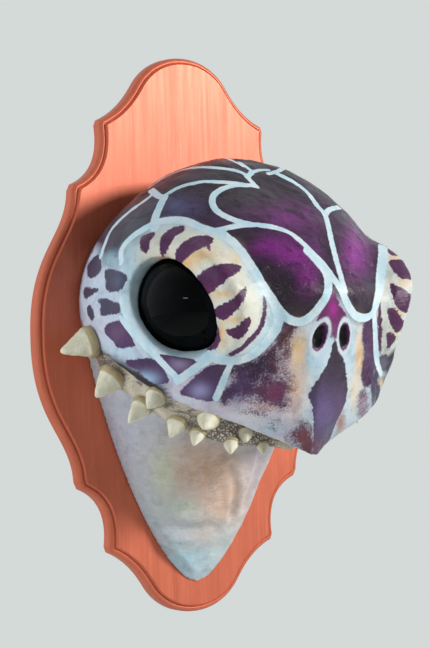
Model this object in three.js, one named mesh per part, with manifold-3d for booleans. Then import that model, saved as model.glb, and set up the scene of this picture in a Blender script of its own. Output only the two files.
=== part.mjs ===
// A papier-mache turtle head with conical teeth and glossy ball eyes, on a moulded wooden wall plaque.
// Units are millimetres. +Z is up, the wall is the plane y = 0, and the head looks out along -Y.
// "Depth" below is the distance out of the wall, so depth = -y.
import * as THREE from 'three';
import { mergeVertices } from 'three/addons/utils/BufferGeometryUtils.js';
import Module from 'manifold-3d';

const wasm = await Module();
wasm.setup();

// Wooden plaque: two round ends, four ears and an oval belly.
const plaqueHeight = 501;
const bellyHalfWidth = 159;
const earHalfWidth = 119;
const earHeight = 134;
const shoulderHalfWidth = 89.5;
const shoulderHeight = 191.5;
const earStep = 6;
const earNotch = 3;
const shoulderStep = 5;
const shoulderNotch = 2;
const archHalfWidth = 50;
const archHeight = 224;
const boardThickness = 14;
const sideWall = 7.5;
const ovoloRadius = 4.2;
const quirkDepth = 0.6;
const fillet = 1.4;

// Fits between separate pieces.
const contactGap = 0.3;

// Papier-mache skull: a ball of paper about one centre, with named swells and hollows.
const skullRadius = 129;
const skullDepth = 90;
const skullHeight = 25;
const skullFacets = 14;
const crownDip = 18;
const napeSwell = 10.5;
const snoutSwell = 9;
const bridgeSwell = 8;
const beakReach = 41;
const beakTurn = -4;
const jowlSwell = 17;

// The beak's edge falls steadily towards the front and dips at the tip. Its left side is a little lower,
// and droops over the teeth.
const rimHeightAtWall = 9.5;
const rimFall = 26.1;
const rimRoll = 3.4;
const beakDip = 17;
const beakDipHalfWidth = 61;
const droop = 27;
const droopHalfWidth = 26;
const droopPlace = 38;

// Lower jaw: a padded horseshoe under that edge, lower at the sides than at the front. Behind the droop it
// is tucked in and up.
const jawInset = 4;
const jawFrontInset = 27;
const jawDrop = 26;
const jawFrontDrop = 14;
const jawRoll = 10;
const jawLeftTuck = 22;
const jawLeftLift = 9;
const jawSides = 40;

// Throat: a slack pouch from the jaw down to the plaque's lower end.
const throatTip = 224;
const throatHalfWidth = 113;
const throatSlope = 98;
const throatTipDepth = 18;

// Eyes: a glass ball behind a slanted oval opening, under a padded brow.
const eyeRadius = 46;
const eyeCentreDistance = 88;
const eyeLongitude = 61;
const eyeLatitude = -1;
const openingHalfLength = 48.5;
const openingHalfWidth = 31.5;
const openingSlant = -49;
const openingDepth = 27;
const browHalfLength = 79;
const browHalfWidth = 57;
const browSlant = -30;
const browForward = 12;
const browRise = 8;
const browHeight = 27;
const browPeakTurn = 15;
const lidHeight = 4;
const lidSpread = 10;

// Nostrils.
const nostrilHalfWidth = 6;
const nostrilHalfHeight = 9.5;
const nostrilDepth = 9;
const nostrilOffset = 12.5;
const nostrilHeight = -5;

// Teeth: clay cones in two staggered rows on each side of the jaw, smaller towards the front. The droop
// leaves room for the rear ones alone on the left side.
// Longitude is the place round the jaw, drop the place down its band, and dip how far it points down.
const toothSides = 8;
const toothSink = 3;
const droopLongitude = 66;
const teeth = [
  { longitude: 106, drop: -0.2, length: 30, radius: 13, dip: 18 },
  { longitude: 96, drop: 0.5, length: 26, radius: 12, dip: 44 },
  { longitude: 80, drop: 0.82, length: 23, radius: 9, dip: 38 },
  { longitude: 71.5, drop: 0.2, length: 16, radius: 9, dip: 36 },
  { longitude: 63, drop: 0.75, length: 16, radius: 8, dip: 46 },
  { longitude: 55, drop: 0.85, length: 13, radius: 6.5, dip: 46 },
  { longitude: 50, drop: 0.2, length: 15, radius: 9, dip: 30 },
  { longitude: 41, drop: 0.85, length: 12, radius: 6.5, dip: 46 },
  { longitude: 34, drop: 0.35, length: 11, radius: 6.5, dip: 34 },
  { longitude: 23, drop: 0.8, length: 9, radius: 5, dip: 46 },
];

const degrees = Math.PI / 180;
const skullCentre = new THREE.Vector3(0, -skullDepth, skullHeight);

function finish(red, green, blue, roughness, metalness = 0) {
  const color = new THREE.Color().setRGB(red, green, blue, THREE.SRGBColorSpace);
  return new THREE.MeshStandardMaterial({ color, roughness, metalness });
}

const copperPaint = finish(0.85, 0.46, 0.33, 0.42, 0.35);
const paintedPaper = finish(0.42, 0.33, 0.47, 0.5);
const blackGlass = finish(0.03, 0.035, 0.04, 0.05);
const bakedClay = finish(0.86, 0.82, 0.68, 0.6);

// Closed-mesh helpers.
function closedGeometry(geometry) {
  const bare = geometry.clone();
  bare.deleteAttribute('normal');
  bare.deleteAttribute('uv');
  return mergeVertices(bare, 1e-4);
}

function toSolid(geometry) {
  const closed = closedGeometry(geometry);
  const mesh = new wasm.Mesh({
    numProp: 3,
    vertProperties: Float32Array.from(closed.attributes.position.array),
    triVerts: Uint32Array.from(closed.index.array),
  });
  return new wasm.Manifold(mesh);
}

function toGeometry(solid) {
  const mesh = solid.getMesh();
  const geometry = new THREE.BufferGeometry();
  const positions = Float32Array.from(mesh.vertProperties);
  geometry.setAttribute('position', new THREE.BufferAttribute(positions, 3));
  geometry.setIndex(new THREE.BufferAttribute(Uint32Array.from(mesh.triVerts), 1));
  geometry.computeVertexNormals();
  return geometry;
}

// Skins rings of equal length into one closed body. A ring is a list of points, and both ends are capped.
function skinRings(rings) {
  const count = rings[0].length;
  const positions = rings.flat().flatMap((p) => [p.x, p.y, p.z]);
  const index = [];
  for (let r = 0; r + 1 < rings.length; r += 1) {
    for (let i = 0; i < count; i += 1) {
      const j = (i + 1) % count;
      const a = r * count + i;
      const b = r * count + j;
      index.push(a, b, b + count, a, b + count, a + count);
    }
  }
  const last = (rings.length - 1) * count;
  for (const [ring, offset, flip] of [[rings[0], 0, true], [rings[rings.length - 1], last, false]]) {
    const flat = flattenRing(ring);
    for (const [a, b, c] of THREE.ShapeUtils.triangulateShape(flat, [])) {
      const face = [offset + a, offset + b, offset + c];
      index.push(...(flip ? face.reverse() : face));
    }
  }
  const geometry = new THREE.BufferGeometry();
  geometry.setAttribute('position', new THREE.Float32BufferAttribute(positions, 3));
  geometry.setIndex(index);
  return outwards(geometry);
}

// A ring's points in its own plane, wound as the ring is.
function flattenRing(ring) {
  const normal = new THREE.Vector3();
  ring.forEach((p, i) => normal.add(new THREE.Vector3().crossVectors(p, ring[(i + 1) % ring.length])));
  normal.normalize();
  const across = Math.abs(normal.x) < 0.9 ? new THREE.Vector3(1, 0, 0) : new THREE.Vector3(0, 1, 0);
  across.addScaledVector(normal, -across.dot(normal)).normalize();
  const along = new THREE.Vector3().crossVectors(normal, across);
  return ring.map((p) => new THREE.Vector2(p.dot(across), p.dot(along)));
}

// Turns the faces of a closed body outwards if they point inwards.
function outwards(geometry) {
  const p = geometry.attributes.position;
  const index = Array.from(geometry.index.array);
  let volume = 0;
  for (let i = 0; i < index.length; i += 3) {
    const [a, b, c] = [0, 1, 2].map((k) => new THREE.Vector3().fromBufferAttribute(p, index[i + k]));
    volume += a.dot(b.cross(c));
  }
  if (volume < 0) index.reverse();
  geometry.setIndex(index);
  return geometry;
}

function bump(offset, spread) {
  return Math.exp(-((offset / spread) ** 2));
}

// The plaque's upper right quarter from the belly to the crown, as curves that meet at the two ears.
function plaqueQuarter() {
  const top = plaqueHeight / 2;
  const v = (x, z) => new THREE.Vector2(x, z);
  const belly = new THREE.CubicBezierCurve(
    v(bellyHalfWidth, 0),
    v(bellyHalfWidth + 1, earHeight * 0.56),
    v(earHalfWidth + 2, earHeight * 0.64),
    v(earHalfWidth, earHeight - earStep),
  );
  const cove = new THREE.CubicBezierCurve(
    v(earHalfWidth - earNotch, earHeight),
    v(shoulderHalfWidth + 6, earHeight + 8),
    v(shoulderHalfWidth - 4, earHeight + 25),
    v(shoulderHalfWidth, shoulderHeight - shoulderStep),
  );
  const ogee = new THREE.CubicBezierCurve(
    v(shoulderHalfWidth - shoulderNotch, shoulderHeight),
    v(shoulderHalfWidth - 21, shoulderHeight + 8),
    v(archHalfWidth + 8, archHeight - 12),
    v(archHalfWidth, archHeight),
  );
  const arch = new THREE.CubicBezierCurve(
    v(archHalfWidth, archHeight),
    v(archHalfWidth - 10, archHeight + 16),
    v(archHalfWidth - 28, top),
    v(0, top),
  );
  return [
    ...belly.getSpacedPoints(9),
    ...cove.getSpacedPoints(5),
    ...ogee.getSpacedPoints(4),
    ...arch.getSpacedPoints(6).slice(1),
  ];
}

function plaqueOutline() {
  const quarter = plaqueQuarter();
  const upper = [...quarter, ...quarter.slice(0, -1).reverse().map((p) => new THREE.Vector2(-p.x, p.y))];
  return [...upper, ...upper.slice(1, -1).reverse().map((p) => new THREE.Vector2(p.x, -p.y))];
}

// The outline moved inwards by the same distance everywhere, with mitred ears.
function insetOutline(outline, inset) {
  const count = outline.length;
  return outline.map((p, i) => {
    const before = outline[(i + count - 1) % count];
    const after = outline[(i + 1) % count];
    const into = p.clone().sub(before).normalize();
    const out = after.clone().sub(p).normalize();
    const mitre = new THREE.Vector2(-into.y - out.y, into.x + out.x).normalize();
    const share = Math.max(0.75, mitre.x * -into.y + mitre.y * into.x);
    return p.clone().addScaledVector(mitre, inset / share);
  });
}

function plaqueGeometry() {
  const outline = plaqueOutline();
  const stepHeight = sideWall + ovoloRadius;
  const profile = [[0, 0], [0, sideWall]];
  for (const turn of [30, 60, 90]) {
    const inset = ovoloRadius * (1 - Math.cos(turn * degrees));
    profile.push([inset, sideWall + ovoloRadius * Math.sin(turn * degrees)]);
  }
  profile.push([ovoloRadius + quirkDepth, stepHeight - quirkDepth]);
  profile.push([ovoloRadius + quirkDepth + fillet * 0.4, boardThickness - fillet * 0.6]);
  profile.push([ovoloRadius + quirkDepth + fillet, boardThickness]);
  return skinRings(profile.map(([inset, height]) => (
    insetOutline(outline, inset).map((p) => new THREE.Vector3(p.x, -height, p.y))
  )));
}

// Unit vector out of the skull's centre: longitude from straight ahead towards +X, latitude upwards.
function headDirection(longitude, latitude) {
  const flat = Math.cos(latitude * degrees);
  return new THREE.Vector3(
    Math.sin(longitude * degrees) * flat,
    -Math.cos(longitude * degrees) * flat,
    Math.sin(latitude * degrees),
  );
}

function sideOf(x) {
  return x < 0 ? -1 : 1;
}

// Unit vectors around an eye: out of the socket, forwards and upwards along the skin.
function eyeFrame(side) {
  const outward = headDirection(side * eyeLongitude, eyeLatitude);
  const forward = headDirection(side * (eyeLongitude - 90), 0);
  const upward = new THREE.Vector3().crossVectors(forward, outward).multiplyScalar(side);
  return { outward, forward, upward };
}

// How far an ellipse reaches from a point inside it, at an angle from its long axis.
function ovalReach(halfLength, halfWidth, slant, centre, turn) {
  const cos = Math.cos(slant * degrees);
  const sin = Math.sin(slant * degrees);
  const along = (x, y) => [x * cos + y * sin, y * cos - x * sin];
  const [ux, uy] = along(Math.cos(turn), Math.sin(turn));
  const [cx, cy] = along(-centre.x, -centre.y);
  const a = (ux / halfLength) ** 2 + (uy / halfWidth) ** 2;
  const b = (ux * cx) / halfLength ** 2 + (uy * cy) / halfWidth ** 2;
  const c = (cx / halfLength) ** 2 + (cy / halfWidth) ** 2 - 1;
  return (-b + Math.sqrt(Math.max(0, b * b - a * c))) / a;
}

// Height of the padded brow and lower lid over the skull, for a direction on either side.
function browSwell(direction) {
  const side = sideOf(direction.x);
  const { outward, forward, upward } = eyeFrame(side);
  const facing = direction.dot(outward);
  if (facing < 0.2) return 0;
  const away = Math.acos(Math.min(1, facing)) * skullRadius;
  const turn = Math.atan2(direction.dot(upward), direction.dot(forward));
  const inner = ovalReach(openingHalfLength, openingHalfWidth, openingSlant, new THREE.Vector2(), turn);
  const browCentre = new THREE.Vector2(browForward, browRise);
  const outer = ovalReach(browHalfLength, browHalfWidth, browSlant, browCentre, turn);
  const width = outer - inner;
  const upper = (0.5 + 0.5 * Math.cos(turn - browPeakTurn * degrees)) ** 5;
  const height = lidHeight + (browHeight - lidHeight) * upper;
  return height * bump(away - inner - 0.42 * width, Math.max(lidSpread, 0.36 * width));
}

// Distance from the skull's centre to its skin.
function skullReach(direction) {
  const latitude = Math.asin(THREE.MathUtils.clamp(direction.z, -1, 1)) / degrees;
  const turn = Math.atan2(direction.x, -direction.y) / degrees;
  const longitude = Math.abs(turn);
  const crown = -crownDip * bump(latitude - 50, 28) * bump(longitude, 50);
  const nape = napeSwell * bump(latitude - 4, 34) * bump(longitude - 125, 45);
  const bridge = snoutSwell * bump(latitude + 8, 18) + bridgeSwell * bump(latitude - 3, 7);
  const snout = bridge * bump(longitude, 24);
  const beakFall = THREE.MathUtils.clamp(-(latitude + 8) / 42, 0, 1.1) ** 2;
  const beak = beakReach * beakFall * Math.exp(-Math.abs(turn - beakTurn) / 26);
  const jowl = jowlSwell * bump(latitude + 38, 22) * bump(longitude - 58, 32);
  return skullRadius + crown + nape + snout + beak + jowl + browSwell(direction);
}

function skullGeometry() {
  const geometry = closedGeometry(new THREE.IcosahedronGeometry(1, skullFacets));
  const p = geometry.attributes.position;
  const direction = new THREE.Vector3();
  for (let i = 0; i < p.count; i += 1) {
    direction.fromBufferAttribute(p, i).normalize();
    direction.multiplyScalar(skullReach(direction)).add(skullCentre);
    p.setXYZ(i, direction.x, direction.y, direction.z);
  }
  return geometry;
}

// Height at which the jaw meets the beak, and of the beak's edge itself, which hangs lower in one place.
function biteHeight(x, depth) {
  const fall = depth * Math.tan(rimFall * degrees) + x * Math.tan(rimRoll * degrees);
  return rimHeightAtWall - fall - beakDip * bump(x, beakDipHalfWidth);
}

function rimHeight(x, depth) {
  return biteHeight(x, depth) - droop * bump(x - droopPlace, droopHalfWidth);
}

// A large block whose top follows the beak's edge.
function underRimGeometry() {
  const reach = 2 * skullRadius;
  const stations = 36;
  const rings = [];
  for (let i = 0; i <= stations; i += 1) {
    const x = THREE.MathUtils.lerp(-reach, reach, i / stations);
    const v = (depth, z) => new THREE.Vector3(x, -depth, z);
    const top = [v(-reach, rimHeight(x, -reach)), v(reach, rimHeight(x, reach))];
    rings.push([...top, v(reach, -2 * reach), v(-reach, -2 * reach)]);
  }
  return skinRings(rings);
}

function behindPlaqueGeometry() {
  const size = 4 * skullRadius;
  const block = new THREE.BoxGeometry(size, size, size);
  block.translate(0, size / 2 - boardThickness - contactGap, 0);
  return block;
}

// The skin's place where the jaw meets it, or a little above, by longitude: found by halving a meridian.
function bitePoint(longitude, above = 0) {
  let low = -75;
  let high = 30;
  for (let step = 0; step < 30; step += 1) {
    const spot = skinPoint(longitude, (low + high) / 2);
    if (spot.z < biteHeight(spot.x, -spot.y) + above) low = (low + high) / 2;
    else high = (low + high) / 2;
  }
  return skinPoint(longitude, (low + high) / 2);
}

function skinPoint(longitude, latitude) {
  const direction = headDirection(longitude, latitude);
  return direction.clone().multiplyScalar(skullReach(direction)).add(skullCentre);
}

// A point on the jaw. Drop runs from 0 at the beak to 1 at the chin, in a rounded profile.
function jawPoint(longitude, drop) {
  const edge = bitePoint(longitude);
  const front = Math.max(0, Math.cos(longitude * degrees)) ** 6;
  const roll = jawRoll * (1 - Math.sqrt(Math.max(0, 1 - Math.max(0, drop * 1.5 - 0.5) ** 2)));
  const tuck = longitude > 0 ? bump(longitude - 45, 28) : 0;
  const inset = THREE.MathUtils.lerp(jawInset, jawFrontInset, front) + roll + jawLeftTuck * tuck;
  const height = THREE.MathUtils.lerp(jawDrop, jawFrontDrop, front);
  edge.add(new THREE.Vector3(-edge.x, -skullDepth - edge.y, 0).setLength(inset));
  return edge.setZ(biteHeight(edge.x, -edge.y) + jawLeftLift * tuck - height * drop);
}

function jawGeometry() {
  const rings = [-0.3, 0, 0.35, 0.62, 0.82, 0.97].map((drop) => (
    Array.from({ length: jawSides }, (unused, i) => jawPoint((i / jawSides) * 360 - 180, drop))
  ));
  return skinRings(rings);
}

// The throat: half ovals standing on the plaque, smaller towards the lower tip.
function throatGeometry() {
  const rows = 11;
  const sides = 14;
  const rings = [];
  for (let row = 0; row <= rows; row += 1) {
    const down = Math.sin((row / rows) * 90 * degrees) ** 0.9 * 0.995;
    const height = -down * throatTip;
    const halfWidth = throatHalfWidth * (1 - down ** 1.2) ** 0.62;
    const reach = throatTipDepth * (1 - down ** 8) + throatSlope * (1 - down) ** 1.5;
    const ring = [];
    for (let i = 0; i <= sides; i += 1) {
      const turn = (i / sides) * Math.PI;
      const depth = boardThickness + reach * Math.sin(turn);
      ring.push(new THREE.Vector3(halfWidth * Math.cos(turn), -depth, height));
    }
    ring.push(new THREE.Vector3(-halfWidth, 0, height), new THREE.Vector3(halfWidth, 0, height));
    rings.push(ring);
  }
  return skinRings(rings);
}

function eyeCentre(side) {
  const outward = headDirection(side * eyeLongitude, eyeLatitude);
  return outward.multiplyScalar(eyeCentreDistance).add(skullCentre);
}

function eyeGeometry(radius) {
  return new THREE.SphereGeometry(radius, 18, 12);
}

// The slanted oval hole that the eye looks out of, from openingDepth under the skin outwards.
function openingGeometry(side) {
  const { outward, forward, upward } = eyeFrame(side);
  const sides = 24;
  const oval = (distance, flare) => Array.from({ length: sides }, (unused, i) => {
    const turn = (i / sides) * 360 * degrees;
    const along = openingHalfLength * flare * Math.cos(turn);
    const across = openingHalfWidth * flare * Math.sin(turn);
    const slant = openingSlant * degrees;
    return skullCentre.clone()
      .addScaledVector(outward, distance)
      .addScaledVector(forward, along * Math.cos(slant) - across * Math.sin(slant))
      .addScaledVector(upward, along * Math.sin(slant) + across * Math.cos(slant));
  });
  const outside = skullRadius + 2 * browHeight;
  return skinRings([oval(skullRadius - openingDepth, 0.8), oval(skullRadius, 1), oval(outside, 1.5)]);
}

function nostrilGeometry(side) {
  const pit = new THREE.SphereGeometry(1, 12, 8);
  pit.scale(nostrilHalfWidth, nostrilDepth, nostrilHalfHeight);
  pit.rotateY(side * -12 * degrees);
  const latitude = Math.atan2(nostrilHeight - skullHeight, skullRadius) / degrees;
  const longitude = Math.atan2(side * nostrilOffset, skullRadius) / degrees;
  pit.translate(...skinPoint(longitude, latitude).toArray());
  return pit;
}

function toothGeometry(radius, length, sink) {
  const v = (x, y) => new THREE.Vector2(x, y);
  const foot = [v(0, -sink), v(radius, -sink)];
  const point = [v(0.55 * radius, 0.55 * length), v(0.16 * radius, 0.95 * length), v(0, length)];
  return toGeometry(toSolid(new THREE.LatheGeometry([...foot, ...point], toothSides)));
}

// Where a tooth stands on the jaw and how it is turned.
function toothPlace({ longitude, drop, dip }, side) {
  const place = new THREE.Object3D();
  const turn = side * longitude;
  place.position.copy(drop < 0 ? bitePoint(turn, -drop * jawDrop) : jawPoint(turn, drop));
  place.quaternion.setFromUnitVectors(new THREE.Vector3(0, 1, 0), headDirection(turn, -dip));
  place.updateMatrix();
  return place;
}

function teethOf(side) {
  return teeth.filter((tooth) => side < 0 || tooth.longitude > droopLongitude);
}

function headGeometry() {
  let head = toSolid(skullGeometry()).subtract(toSolid(underRimGeometry()));
  head = head.add(toSolid(jawGeometry()));
  head = head.add(toSolid(throatGeometry()));
  head = head.subtract(toSolid(behindPlaqueGeometry()));
  for (const side of [-1, 1]) {
    const socket = eyeGeometry(eyeRadius + contactGap);
    socket.translate(...eyeCentre(side).toArray());
    head = head.subtract(toSolid(socket));
    head = head.subtract(toSolid(openingGeometry(side)));
    head = head.subtract(toSolid(nostrilGeometry(side)));
    for (const tooth of teethOf(side)) {
      const hole = toothGeometry(tooth.radius + contactGap, tooth.length, toothSink + contactGap);
      head = head.subtract(toSolid(hole.applyMatrix4(toothPlace(tooth, side).matrix)));
    }
  }
  return toGeometry(head);
}

const group = new THREE.Group();

function addPiece(name, geometry, material) {
  const mesh = new THREE.Mesh(geometry, material);
  mesh.name = name;
  group.add(mesh);
  return mesh;
}

addPiece('plaque', plaqueGeometry(), copperPaint);
addPiece('head', headGeometry(), paintedPaper);
for (const [sideName, side] of [['right', -1], ['left', 1]]) {
  const ball = addPiece(`eye_${sideName}`, toGeometry(toSolid(eyeGeometry(eyeRadius))), blackGlass);
  ball.position.copy(eyeCentre(side));
  teethOf(side).forEach((tooth, i) => {
    const place = toothPlace(tooth, side);
    const geometry = toothGeometry(tooth.radius, tooth.length, toothSink);
    const piece = addPiece(`tooth_${sideName}_${i + 1}`, geometry, bakedClay);
    piece.position.copy(place.position);
    piece.quaternion.copy(place.quaternion);
  });
}

export default group;
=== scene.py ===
# A painted papier-mache turtle head on a copper-painted plaque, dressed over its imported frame.
# Lengths are metres. +Z is up, the wall is y = 0 and the head looks out along -Y.
import math
import bpy
import numpy as np
from mathutils import Matrix, Vector, noise
from mathutils.bvhtree import BVHTree


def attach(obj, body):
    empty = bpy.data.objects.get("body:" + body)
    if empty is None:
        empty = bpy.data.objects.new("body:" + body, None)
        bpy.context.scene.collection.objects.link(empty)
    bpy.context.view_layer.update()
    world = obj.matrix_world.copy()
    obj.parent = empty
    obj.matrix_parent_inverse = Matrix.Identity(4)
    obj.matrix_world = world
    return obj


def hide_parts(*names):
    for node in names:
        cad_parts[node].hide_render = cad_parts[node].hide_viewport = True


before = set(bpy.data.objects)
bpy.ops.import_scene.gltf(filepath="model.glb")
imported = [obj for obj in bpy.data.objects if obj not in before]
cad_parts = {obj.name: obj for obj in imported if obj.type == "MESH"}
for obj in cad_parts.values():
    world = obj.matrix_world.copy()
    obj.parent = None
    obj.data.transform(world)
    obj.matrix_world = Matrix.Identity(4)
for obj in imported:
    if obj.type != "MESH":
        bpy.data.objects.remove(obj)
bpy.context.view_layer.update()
bpy.ops.object.select_all(action="DESELECT")
print("frame loaded")

mm = 0.001

# Camera: fitted to the plaque's outline in the photograph.
camera = {
    "place": (-1.1132, -1.6432, -0.0145),
    "yaw": 35.0,
    "pitch": 0.675,
    "roll": -1.446,
    "focalPixels": 2181.8,
    "imageWidth": 430,
    "imageHeight": 648,
}


def cameraAxes():
    yaw, pitch, roll = (math.radians(camera[key]) for key in ("yaw", "pitch", "roll"))
    forward = Vector((math.sin(yaw) * math.cos(pitch), math.cos(yaw) * math.cos(pitch), math.sin(pitch)))
    level = Vector((math.cos(yaw), -math.sin(yaw), 0))
    above = level.cross(forward)
    right = level * math.cos(roll) + above * math.sin(roll)
    up = above * math.cos(roll) - level * math.sin(roll)
    return right, up, forward


def addCamera():
    right, up, forward = cameraAxes()
    data = bpy.data.cameras.new("camera")
    data.sensor_fit = "VERTICAL"
    data.sensor_height = 36
    data.lens = 36 * camera["focalPixels"] / camera["imageHeight"]
    obj = bpy.data.objects.new("camera", data)
    bpy.context.collection.objects.link(obj)
    turn = Matrix((right, up, -forward)).transposed().to_4x4()
    obj.matrix_world = Matrix.Translation(camera["place"]) @ turn
    bpy.context.scene.camera = obj
    bpy.context.scene.view_settings.view_transform = "Standard"


# Where points of the object fall in the photograph, in its own pixels.
def toPhoto(points):
    right, up, forward = (np.array(axis) for axis in cameraAxes())
    away = points - np.array(camera["place"])
    depth = away @ forward
    x = camera["imageWidth"] / 2 + camera["focalPixels"] * (away @ right) / depth
    y = camera["imageHeight"] / 2 - camera["focalPixels"] * (away @ up) / depth
    return np.stack([x, y], 1)


# The line of sight through a pixel of the photograph.
def sightLine(x, y):
    right, up, forward = cameraAxes()
    along = forward * camera["focalPixels"]
    along += right * (x - camera["imageWidth"] / 2) + up * (camera["imageHeight"] / 2 - y)
    return Vector(camera["place"]), along.normalized()


addCamera()

# Head: sizes of the solid it dresses. Angles are degrees about the skull's centre. A swell has its height,
# its latitude with a spread, and its longitude with a spread.
skull = {
    "radius": 129 * mm,
    "centre": np.array((0, -90 * mm, 25 * mm)),
    "swells": {
        "crown": (-18 * mm, 50, 28, 0, 50),
        "nape": (10.5 * mm, 4, 34, 125, 45),
        "snout": (9 * mm, -8, 18, 0, 24),
        "bridge": (8 * mm, 3, 7, 0, 24),
        "jowl": (17 * mm, -38, 22, 58, 32),
    },
    "beakReach": 41 * mm,
    "beakTurn": -4,
    "beakSpread": 26,
    "beakStart": -8,
    "beakFall": 42,
    "beakMost": 1.1,
}
# The beak's edge: its height at the wall, its slopes in degrees, its dip and its droop over the left teeth.
rim = {
    "atWall": 9.5 * mm,
    "fall": 26.1,
    "roll": 3.4,
    "dip": 17 * mm,
    "dipHalfWidth": 61 * mm,
    "droop": 27 * mm,
    "droopHalfWidth": 26 * mm,
    "droopPlace": 38 * mm,
}
jaw = {
    "inset": 4 * mm,
    "frontInset": 27 * mm,
    "drop": 26 * mm,
    "frontDrop": 14 * mm,
    "roll": 10 * mm,
    "leftTuck": 22 * mm,
    "leftLift": 9 * mm,
    "tuckPlace": 45,
    "tuckSpread": 28,
}
throat = {"tip": 224 * mm, "halfWidth": 113 * mm, "slope": 98 * mm, "tipDepth": 18 * mm, "lowest": 0.995}
eye = {
    "radius": 46 * mm,
    "distance": 88 * mm,
    "longitude": 61,
    "latitude": -1,
    "openingHalfLength": 48.5 * mm,
    "openingHalfWidth": 31.5 * mm,
    "openingSlant": -49,
    "openingDepth": 27 * mm,
    "glass": (0.0016, 0.0018, 0.002),
    "glassPale": (0.004, 0.0045, 0.005),
    "gloss": 0.10,
}
brow = {
    "halfLength": 79 * mm,
    "halfWidth": 57 * mm,
    "slant": -30,
    "forward": 12 * mm,
    "rise": 8 * mm,
    "height": 27 * mm,
    "peakTurn": 15,
    "lidHeight": 4 * mm,
    "lidSpread": 10 * mm,
    "ridgePlace": 0.42,
    "ridgeSpread": 0.36,
}
nostril = {
    "halfWidth": 5.2 * mm,
    "halfHeight": 9.5 * mm,
    "depth": 9 * mm,
    "offset": 12.5 * mm,
    "height": -5 * mm,
    "turn": -12,
}
boardThickness = 14 * mm
contactGap = 0.3 * mm


def bump(offset, spread):
    return np.exp(-((offset / spread) ** 2))


# Unit vectors out of the skull's centre: longitude from straight ahead towards +X, latitude upwards.
def headDirection(longitude, latitude):
    lon, lat = np.radians(longitude), np.radians(latitude)
    return np.stack([np.sin(lon) * np.cos(lat), -np.cos(lon) * np.cos(lat), np.sin(lat) + 0 * lon], -1)


def eyeAxes(side):
    outward = headDirection(side * eye["longitude"], eye["latitude"])
    ahead = headDirection(side * (eye["longitude"] - 90), 0)
    return outward, ahead, np.cross(ahead, outward) * side


# How far an ellipse reaches from a point inside it, at an angle from the forward axis.
def ovalReach(halfLength, halfWidth, slant, centre, turn):
    slant = math.radians(slant)

    def turned(x, y):
        return x * np.cos(slant) + y * np.sin(slant), y * np.cos(slant) - x * np.sin(slant)

    ux, uy = turned(np.cos(turn), np.sin(turn))
    cx, cy = turned(-centre[0], -centre[1])
    a = (ux / halfLength) ** 2 + (uy / halfWidth) ** 2
    b = ux * cx / halfLength**2 + uy * cy / halfWidth**2
    c = (cx / halfLength) ** 2 + (cy / halfWidth) ** 2 - 1
    return (-b + np.sqrt(np.maximum(0, b * b - a * c))) / a


# Distance along the skin from the eye's opening and from the brow's outer edge, both positive outwards.
def eyeSurround(direction):
    side = np.where(direction[:, 0] < 0, -1.0, 1.0)
    outward, ahead, above = (np.where(side[:, None] < 0, a, b) for a, b in zip(eyeAxes(-1), eyeAxes(1)))
    facing = (direction * outward).sum(1)
    away = np.arccos(np.clip(facing, -1, 1)) * skull["radius"]
    turn = np.arctan2((direction * above).sum(1), (direction * ahead).sum(1))
    inner = ovalReach(eye["openingHalfLength"], eye["openingHalfWidth"], eye["openingSlant"], (0, 0), turn)
    centre = (brow["forward"], brow["rise"])
    outer = ovalReach(brow["halfLength"], brow["halfWidth"], brow["slant"], centre, turn)
    return facing, away, turn, inner, outer


# The brow's padded ridge, high above the eye and thin as a lid below it.
def browSwell(direction):
    facing, away, turn, inner, outer = eyeSurround(direction)
    width = outer - inner
    upper = (0.5 + 0.5 * np.cos(turn - math.radians(brow["peakTurn"]))) ** 5
    height = brow["lidHeight"] + (brow["height"] - brow["lidHeight"]) * upper
    spread = np.maximum(brow["lidSpread"], brow["ridgeSpread"] * width)
    swell = height * bump(away - inner - brow["ridgePlace"] * width, spread)
    return np.where(facing < 0.2, 0, swell)


def skullReach(direction):
    latitude = np.degrees(np.arcsin(np.clip(direction[:, 2], -1, 1)))
    longitude = np.degrees(np.arctan2(direction[:, 0], -direction[:, 1]))
    reach = skull["radius"] + browSwell(direction)
    for height, lat, latSpread, lon, lonSpread in skull["swells"].values():
        reach += height * bump(latitude - lat, latSpread) * bump(np.abs(longitude) - lon, lonSpread)
    fall = np.clip((skull["beakStart"] - latitude) / skull["beakFall"], 0, skull["beakMost"]) ** 2
    aside = np.abs(longitude - skull["beakTurn"]) / skull["beakSpread"]
    return reach + skull["beakReach"] * fall * np.exp(-aside)


def skinPoint(longitude, latitude):
    direction = headDirection(np.atleast_1d(longitude), np.atleast_1d(latitude))
    return direction * skullReach(direction)[:, None] + skull["centre"]


# Height at which the jaw meets the beak, and of the beak's edge itself.
def biteHeight(x, depth):
    fall = depth * math.tan(math.radians(rim["fall"])) + x * math.tan(math.radians(rim["roll"]))
    return rim["atWall"] - fall - rim["dip"] * bump(x, rim["dipHalfWidth"])


def rimHeight(x, depth):
    return biteHeight(x, depth) - rim["droop"] * bump(x - rim["droopPlace"], rim["droopHalfWidth"])


# The skin's place where the jaw meets it, or a little above, by longitude.
def bitePoint(longitude, above=0.0):
    longitude = np.atleast_1d(longitude).astype(float)
    low, high = np.full(len(longitude), -75.0), np.full(len(longitude), 30.0)
    for step in range(30):
        spot = skinPoint(longitude, (low + high) / 2)
        under = spot[:, 2] < biteHeight(spot[:, 0], -spot[:, 1]) + above
        low = np.where(under, (low + high) / 2, low)
        high = np.where(under, high, (low + high) / 2)
    return skinPoint(longitude, (low + high) / 2)


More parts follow.
